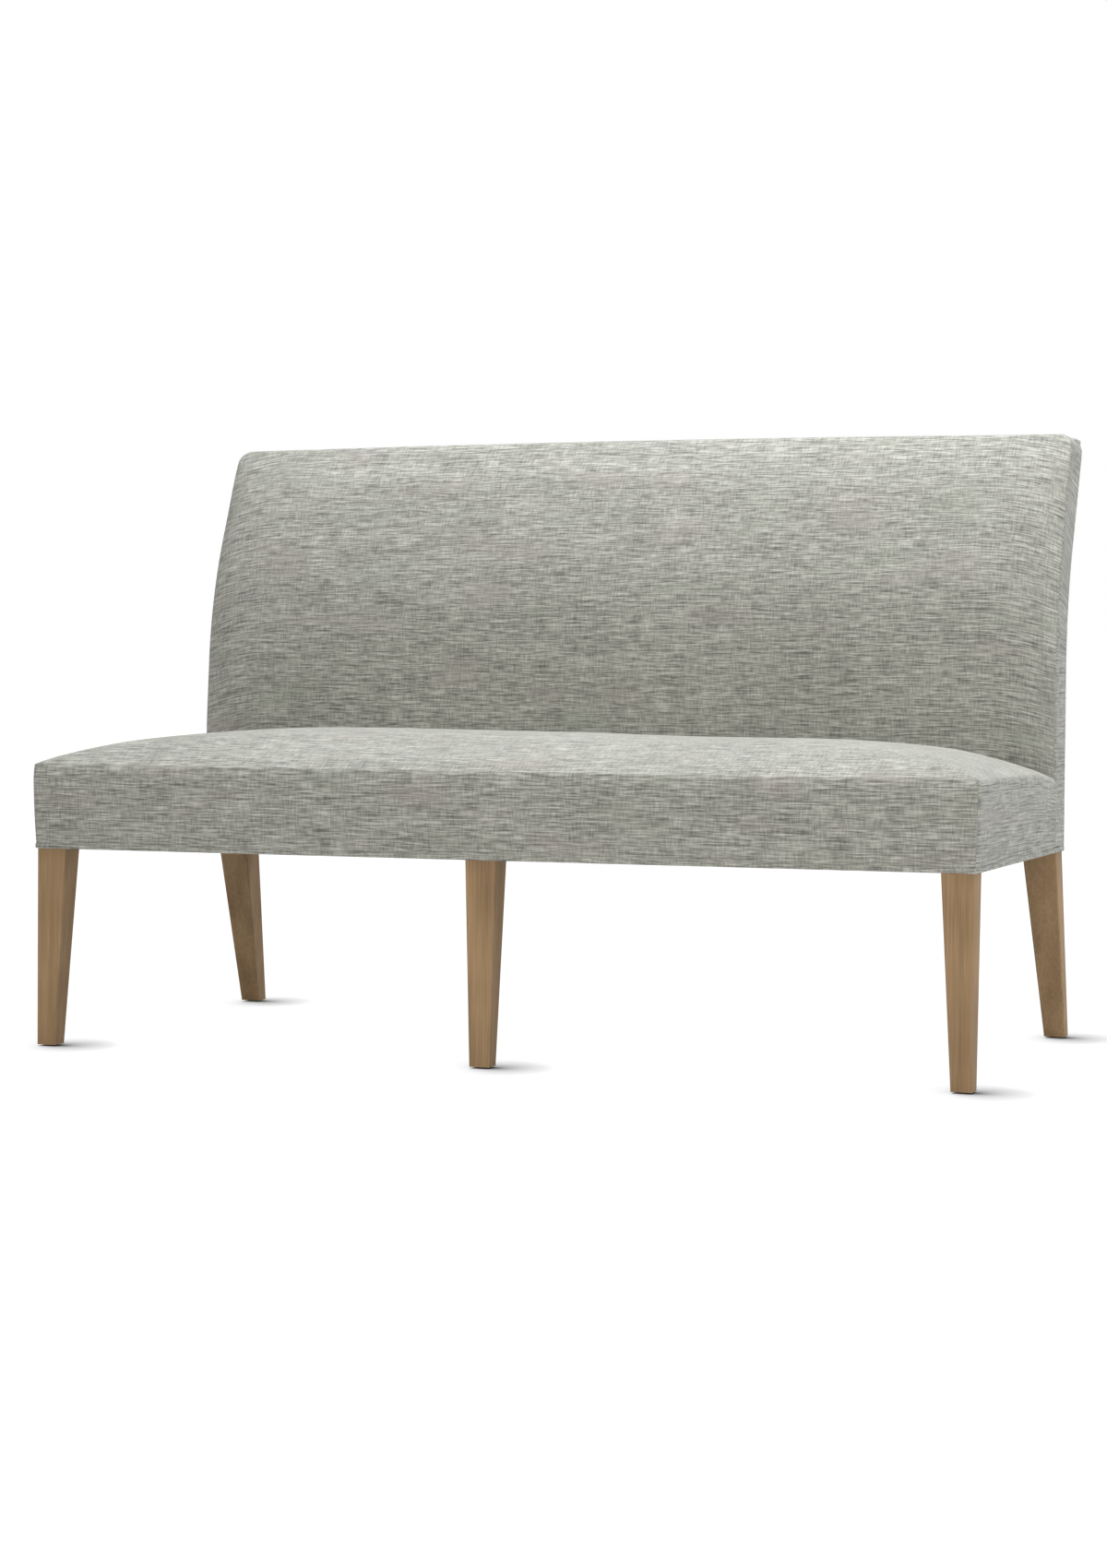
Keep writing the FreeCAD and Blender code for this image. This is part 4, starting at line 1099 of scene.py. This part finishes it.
    def is_held(self, place: Vector) -> bool:
        """Whether a point is tacked down or lies against the frame: all but the front's filling.

        Args:
            place: The point on the finished back.

        Returns:
            True where the point stays still.
        """
        low = place.z < self.deck + self.held_foot
        straight = place.y - self.front
        leaning = max(place.z - self.bend, 0.0) * math.tan(self.lean / 2)
        return low or straight > leaning + self.held_depth or self.half - abs(place.x) < self.held_side


@dataclass
class BottomWelt:
    """The self-covered welt round the lower edge of the covers."""

    low: Vector
    high: Vector
    thickness: float = 0.0042
    corner: float = 0.008
    softness: float = 0.0019
    # The seam's line, sunk by a bump and darkened with painted shade, is wider here than elsewhere, by one
    # over this share
    seam_share: float = 0.6
    corner_segments: int = 4
    soft_segments: int = 3
    steps: tuple[float, float] = (0.02, 0.05)
    weave_turn: float = 0.01

    @classmethod
    def from_frame(cls) -> "BottomWelt":
        """The welt at its size in the frame."""
        low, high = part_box("bottom_welt")
        return cls(low, high)

    def build(self, cloth: bpy.types.Material) -> bpy.types.Object:
        """Makes the welt.

        Args:
            cloth: The welt's material.

        Returns:
            The piece.
        """
        bm = block(self.low, self.high)
        uprights = [edge for edge in bm.edges if run(edge, Axis.UP) > TINY]
        round_over(bm, uprights, self.corner, self.corner_segments)
        flats = [face for face in bm.faces if abs(face.normal.z) > LEVEL]
        for face in flats:
            bmesh.ops.inset_individual(bm, faces=[face], thickness=self.thickness)
        loops = [edge for face in flats for edge in face.edges]
        bmesh.ops.delete(bm, geom=flats, context="FACES_ONLY")
        bmesh.ops.bridge_loops(bm, edges=loops)
        bmesh.ops.recalc_face_normals(bm, faces=bm.faces)
        outer = [edge for edge in bm.edges if self.is_outer(edge)]
        round_over(bm, outer, self.softness, self.soft_segments)
        cut_across(bm, Axis.ACROSS, graded(self.low.x, self.high.x, *self.steps))
        cut_across(bm, Axis.DEPTH, graded(self.low.y, self.high.y, *self.steps))
        self.lay_cloth(bm)
        piece = finished("welt", bm, cloth)
        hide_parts("bottom_welt")
        return piece

    def is_outer(self, edge: bmesh.types.BMEdge) -> bool:
        """Whether an edge runs round the welt's outside, at its top or bottom.

        Args:
            edge: The edge.

        Returns:
            True for an outer edge.
        """
        level = run(edge, Axis.UP) < TINY
        upright = any(abs(face.normal.z) < LEVEL for face in edge.link_faces)
        return level and upright and all(self.is_outside(vertex.co) for vertex in edge.verts)

    def is_outside(self, place: Vector) -> bool:
        """Whether a point lies on the outer wall or its rounded corners.

        Args:
            place: The point.

        Returns:
            True for a point outside.
        """
        x_room = min(self.high.x - place.x, place.x - self.low.x)
        y_room = min(self.high.y - place.y, place.y - self.low.y)
        if x_room < self.corner and y_room < self.corner:
            return math.hypot(self.corner - x_room, self.corner - y_room) > self.corner - self.thickness / 2
        return min(x_room, y_room) < self.thickness / 2

    def lay_cloth(self, bm: bmesh.types.BMesh) -> None:
        """Writes the cloth's own map along the welt, and each point's distance from the seam at its top,
        where the cloth paints a line of shade.

        Args:
            bm: The welt's mesh.
        """
        layer = bm.loops.layers.uv.new(CLOTH_MAP)
        seam = bm.verts.layers.float.new(SEAM)
        bm.normal_update()
        for vertex in bm.verts:
            vertex[seam] = (self.high.z - vertex.co.z) * self.seam_share
        for face in bm.faces:
            along = Axis.DEPTH if abs(face.normal.x) > DIAGONAL else Axis.ACROSS
            for loop in face.loops:
                place = loop.vert.co
                loop[layer].uv = (place[along.value] + Cut.WELT.value, place.z + place.y * self.weave_turn)


@dataclass
class DustCloth:
    """The black cloth tacked under the seat, cut round the legs."""

    low: Vector
    high: Vector
    sag: float = 0.003
    thickness: float = 0.0008
    leg_room: float = 0.0008
    tenon: float = 0.022
    cells_across: int = 50
    cells_deep: int = 24
    lump_cells: float = 9.0
    lump_height: float = 0.0004

    @classmethod
    def from_frame(cls) -> "DustCloth":
        """The cloth at its size in the frame."""
        low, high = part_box("dust_cover")
        return cls(low, high)

    def leg_spans(self) -> list[tuple[float, float, float, float]]:
        """The plan rectangles that the legs and posts take up under the seat.

        Returns:
            The left, right, front and rear of each.
        """
        room = self.leg_room
        spans = []
        for name in ("front_left_leg", "front_right_leg", "front_centre_leg"):
            low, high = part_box(name)
            spans.append((low.x - room, high.x + room, low.y - room, high.y + room))
        rail_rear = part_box("rear_rail")[1].y
        rail_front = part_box("left_side_rail")[1].y
        for name in ("rear_left_post", "rear_right_post"):
            low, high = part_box(name)
            spans.append((low.x - room, high.x + room, rail_front - self.tenon - room, rail_rear + room))
        return spans

    def build(self, cloth: bpy.types.Material) -> bpy.types.Object:
        """Makes the cloth.

        Args:
            cloth: The cloth's material.

        Returns:
            The piece.
        """
        size = self.high - self.low
        middle = (self.low + self.high) / 2
        middle.z = self.high.z - self.thickness / 2
        matrix = Matrix.Translation(middle) @ Matrix.Diagonal((size.x, size.y, 1.0, 1.0))
        bm = bmesh.new()
        bmesh.ops.create_grid(
            bm, x_segments=self.cells_across, y_segments=self.cells_deep, size=0.5, matrix=matrix,
        )
        spans = self.leg_spans()
        for left, right, near, far in spans:
            cut_across(bm, Axis.ACROSS, (left, right))
            cut_across(bm, Axis.DEPTH, (near, far))
        taken = [
            face for face in bm.faces
            if any(left < face.calc_center_median().x < right and near < face.calc_center_median().y < far
                   for left, right, near, far in spans)
        ]
        bmesh.ops.delete(bm, geom=taken, context="FACES")
        area = sum(face.calc_area() for face in bm.faces)
        for vertex in bm.verts:
            across = math.cos(math.pi * (vertex.co.x - middle.x) / size.x)
            depth = math.cos(math.pi * (vertex.co.y - middle.y) / size.y)
            ripple = lump(vertex.co, self.lump_cells, self.lump_height) * depth
            vertex.co.z -= max(across * depth, 0.0) * self.sag + ripple
        bmesh.ops.reverse_faces(bm, faces=bm.faces)
        piece = finished("dust_cloth", bm, cloth)
        body = piece.modifiers.new("thickness", "SOLIDIFY")
        body.thickness = self.thickness
        body.offset = 0.0
        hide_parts("dust_cover")
        return piece


@dataclass
class WoodenFrame:
    """The solids that keep their own shape: legs, rails, fasteners, straps and glides."""

    legs: tuple[str, ...] = (
        "front_left_leg", "front_right_leg", "front_centre_leg", "rear_left_post", "rear_right_post",
    )
    cross_rails: tuple[str, ...] = ("front_rail", "rear_rail", "lower_back_rail", "top_back_rail")
    deep_rails: tuple[str, ...] = ("left_side_rail", "right_side_rail", "left_stretcher", "right_stretcher")
    upright: tuple[str, ...] = (
        "back_stile", "front_left_corner_block", "front_right_corner_block", "rear_left_corner_block",
        "rear_right_corner_block",
    )
    fasteners: tuple[str, ...] = ("centre_leg_bolts", "centre_leg_nuts")
    straps: tuple[str, ...] = ("seat_cross_webbing", "seat_long_webbing", "back_webbing")

    def dress(self, nodes: dict[str, bpy.types.Object]) -> None:
        """Gives every solid that stays its finish.

        Args:
            nodes: The frame's solids by name.
        """
        finishes: list[tuple[tuple[str, ...], bpy.types.Material]] = [
            (self.legs, LEG_WOOD.material("leg_wood")),
            (self.cross_rails, BARE_WOOD[Axis.ACROSS].material("bare_wood_across")),
            (self.deep_rails, BARE_WOOD[Axis.DEPTH].material("bare_wood_deep")),
            (self.upright, BARE_WOOD[Axis.UP].material("bare_wood_up")),
            (self.fasteners, ZINC.material("zinc")),
            (self.straps, WEBBING.material("webbing")),
            (("seat_hessian",), HESSIAN.material("hessian")),
            (("foot_glides",), GLIDE_NYLON.material("glide_nylon")),
        ]
        for names, material in finishes:
            for name in names:
                nodes[name].data.materials.clear()
                nodes[name].data.materials.append(material)
                LOG.info("dressed %s with %s", name, material.name)


@dataclass(frozen=True)
class SoftLamp:
    """One square soft lamp: its place and aim, its side in metres and its power in watts."""

    name: str
    place: Vector
    aim: Vector
    width: float
    power: float
    colour: Colour = (1.0, 1.0, 1.0)

    def hang(self) -> None:
        """Hangs the lamp in the scene."""
        data = bpy.data.lights.new(self.name, "AREA")
        data.size = self.width
        data.energy = self.power
        data.color = self.colour
        lamp = bpy.data.objects.new(self.name, data)
        lamp.location = self.place
        lamp.rotation_mode = "QUATERNION"
        lamp.rotation_quaternion = (self.aim - self.place).to_track_quat("-Z", "Y")
        bpy.context.scene.collection.objects.link(lamp)


@dataclass
class Studio:
    """The pale floor, the soft light and the camera of the photo."""

    place: Vector = Vector((1.5738, -4.5179, 0.5539))
    azimuth: float = math.radians(19.5568)
    pitch: float = math.radians(1.6143)
    roll: float = math.radians(0.4325)
    focal_pixels: float = 3269.0
    image_height: float = 1700.0
    centre_row: float = 841.49
    sensor: float = 36.0
    floor_reach: float = 30.0
    floor_share: float = 0.08
    floor_tone: float = 0.8
    floor_rough: float = 0.9
    floor_glow: float = 1.08
    # The painted contact shadow: how far ambient occlusion looks, how sharply it darkens the glow, and the
    # tilted normal that makes it fall to the right
    painted_shadow_reach: float = 0.09
    painted_shadow_power: float = 2.4
    painted_shadow_lean: tuple[float, float, float] = (-0.70, -0.25, 0.67)
    floor_fade: tuple[float, float] = (0.9, 2.2)
    surroundings: float = 0.26
    lamps: tuple[SoftLamp, ...] = (
        SoftLamp(
            "overhead", place=Vector((0.5, 0.0, 3.2)), aim=Vector((0.1, 0.0, 0.5)), width=3.0, power=123.0,
            colour=(0.97, 0.985, 1.0),
        ),
        SoftLamp(
            "front", place=Vector((1.2, -4.4, 0.7)), aim=Vector((0.0, 0.0, 0.5)), width=2.6, power=50.0,
            colour=(1.0, 0.93, 0.84),
        ),
        SoftLamp("right", place=Vector((4.0, 0.3, 2.2)), aim=Vector((0.0, 0.0, 0.5)), width=2.4, power=20.5),
    )

    def build(self) -> None:
        """Makes the floor, the light and the camera."""
        self.lay_floor()
        self.light()
        self.set_camera()

    def set_camera(self) -> None:
        """Puts the camera where the photo was taken from."""
        forward = Vector((
            -math.sin(self.azimuth) * math.cos(self.pitch),
            math.cos(self.azimuth) * math.cos(self.pitch),
            -math.sin(self.pitch),
        ))
        right = Vector((math.cos(self.azimuth), math.sin(self.azimuth), 0.0))
        up = right.cross(forward)
        turned_right = right * math.cos(self.roll) + up * math.sin(self.roll)
        turned_up = up * math.cos(self.roll) - right * math.sin(self.roll)
        data = bpy.data.cameras.new("camera")
        data.sensor_width = self.sensor
        data.lens = self.sensor * self.focal_pixels / self.image_height
        data.shift_y = (self.centre_row - self.image_height / 2) / self.image_height
        camera = bpy.data.objects.new("camera", data)
        turn = Matrix((turned_right, turned_up, -forward)).transposed()
        camera.matrix_world = Matrix.Translation(self.place) @ turn.to_4x4()
        bpy.context.scene.collection.objects.link(camera)
        bpy.context.scene.camera = camera

    def lay_floor(self) -> None:
        """Lays a pale floor: for the camera mostly an even glow, with a painted contact shadow beside the
        feet made by ambient occlusion and tilted to fall to the right, plus a small share of real shading.
        """
        bm = bmesh.new()
        bmesh.ops.create_grid(bm, x_segments=1, y_segments=1, size=self.floor_reach)
        mesh = bpy.data.meshes.new("floor")
        bm.to_mesh(mesh)
        bm.free()
        graph = Graph("floor")
        graph.set_shader(base_color=(self.floor_tone,) * 3, roughness=self.floor_rough)
        glow = graph.tree.nodes.new("ShaderNodeEmission")
        # Painted shadow: ambient occlusion with a tilted normal dims the floor's glow beside the feet, more
        # on their right
        nearby = graph.tree.nodes.new("ShaderNodeAmbientOcclusion")
        nearby.inputs["Distance"].default_value = self.painted_shadow_reach
        lean = graph.tree.nodes.new("ShaderNodeCombineXYZ")
        for socket, part in zip(lean.inputs, self.painted_shadow_lean):
            socket.default_value = part
        graph.put(nearby.inputs["Normal"], lean.outputs[0])
        unshadowed_share = graph.maths("POWER", nearby.outputs["AO"], self.painted_shadow_power)
        graph.put(glow.inputs["Strength"], graph.maths("MULTIPLY", unshadowed_share, self.floor_glow))
        mix = graph.tree.nodes.new("ShaderNodeMixShader")
        reach = graph.tree.nodes.new("ShaderNodeVectorMath")
        reach.operation = "LENGTH"
        graph.put(reach.inputs[0], graph.coordinates((1.0, 1.0, 1.0)))
        far = graph.between(reach.outputs["Value"], *self.floor_fade)
        share = graph.maths("MAXIMUM", far, 1 - self.floor_share)
        share = graph.maths("MULTIPLY", share, self.background_rays(graph.tree))
        graph.put(mix.inputs[0], share)
        graph.put(mix.inputs[1], graph.shader.outputs[0])
        graph.put(mix.inputs[2], glow.outputs[0])
        output = next(node for node in graph.tree.nodes if node.type == "OUTPUT_MATERIAL")
        graph.put(output.inputs["Surface"], mix.outputs[0])
        mesh.materials.append(graph.material)
        floor = bpy.data.objects.new("floor", mesh)
        bpy.context.scene.collection.objects.link(floor)

    @staticmethod
    def background_rays(tree: bpy.types.NodeTree) -> bpy.types.NodeSocket:
        """A value of 1 for rays that look at the background: from the camera, or off gloss or glass.

        Args:
            tree: The node tree to add to.

        Returns:
            The value's socket.
        """
        path = tree.nodes.new("ShaderNodeLightPath")
        total = path.outputs["Is Camera Ray"]
        for name in ("Is Glossy Ray", "Is Transmission Ray"):
            add = tree.nodes.new("ShaderNodeMath")
            add.operation = "ADD"
            add.use_clamp = True
            tree.links.new(total, add.inputs[0])
            tree.links.new(path.outputs[name], add.inputs[1])
            total = add.outputs[0]
        return total

    def light(self) -> None:
        """Sets the pale surroundings and the large soft lamps."""
        scene = bpy.context.scene
        scene.view_settings.view_transform = "Standard"
        world = bpy.data.worlds.new("surroundings")
        scene.world = world
        world.use_nodes = True
        tree = world.node_tree
        plain = next(node for node in tree.nodes if node.type == "BACKGROUND")
        plain.inputs["Color"].default_value = WHITE
        plain.inputs["Strength"].default_value = self.surroundings
        white = tree.nodes.new("ShaderNodeBackground")
        white.inputs["Color"].default_value = WHITE
        mix = tree.nodes.new("ShaderNodeMixShader")
        tree.links.new(self.background_rays(tree), mix.inputs[0])
        tree.links.new(plain.outputs[0], mix.inputs[1])
        tree.links.new(white.outputs[0], mix.inputs[2])
        output = next(node for node in tree.nodes if node.type == "OUTPUT_WORLD")
        tree.links.new(mix.outputs[0], output.inputs["Surface"])
        for lamp in self.lamps:
            lamp.hang()


def main() -> None:
    """Builds the bench round its frame, then the studio."""
    logging.basicConfig(level=logging.INFO, format="%(name)s: %(message)s")
    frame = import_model()
    cloth = SlubCloth().material()
    black = BLACK_CLOTH.material("dust_cloth")
    for piece in (
        SeatPad.from_frame().build(cloth),
        BackPad.from_frame().build(cloth),
        BottomWelt.from_frame().build(cloth),
        DustCloth.from_frame().build(black),
    ):
        LOG.info("made %s with %d faces", piece.name, len(piece.data.polygons))
    WoodenFrame().dress(frame["nodes"])
    Studio().build()


if __name__ == "__main__":
    main()
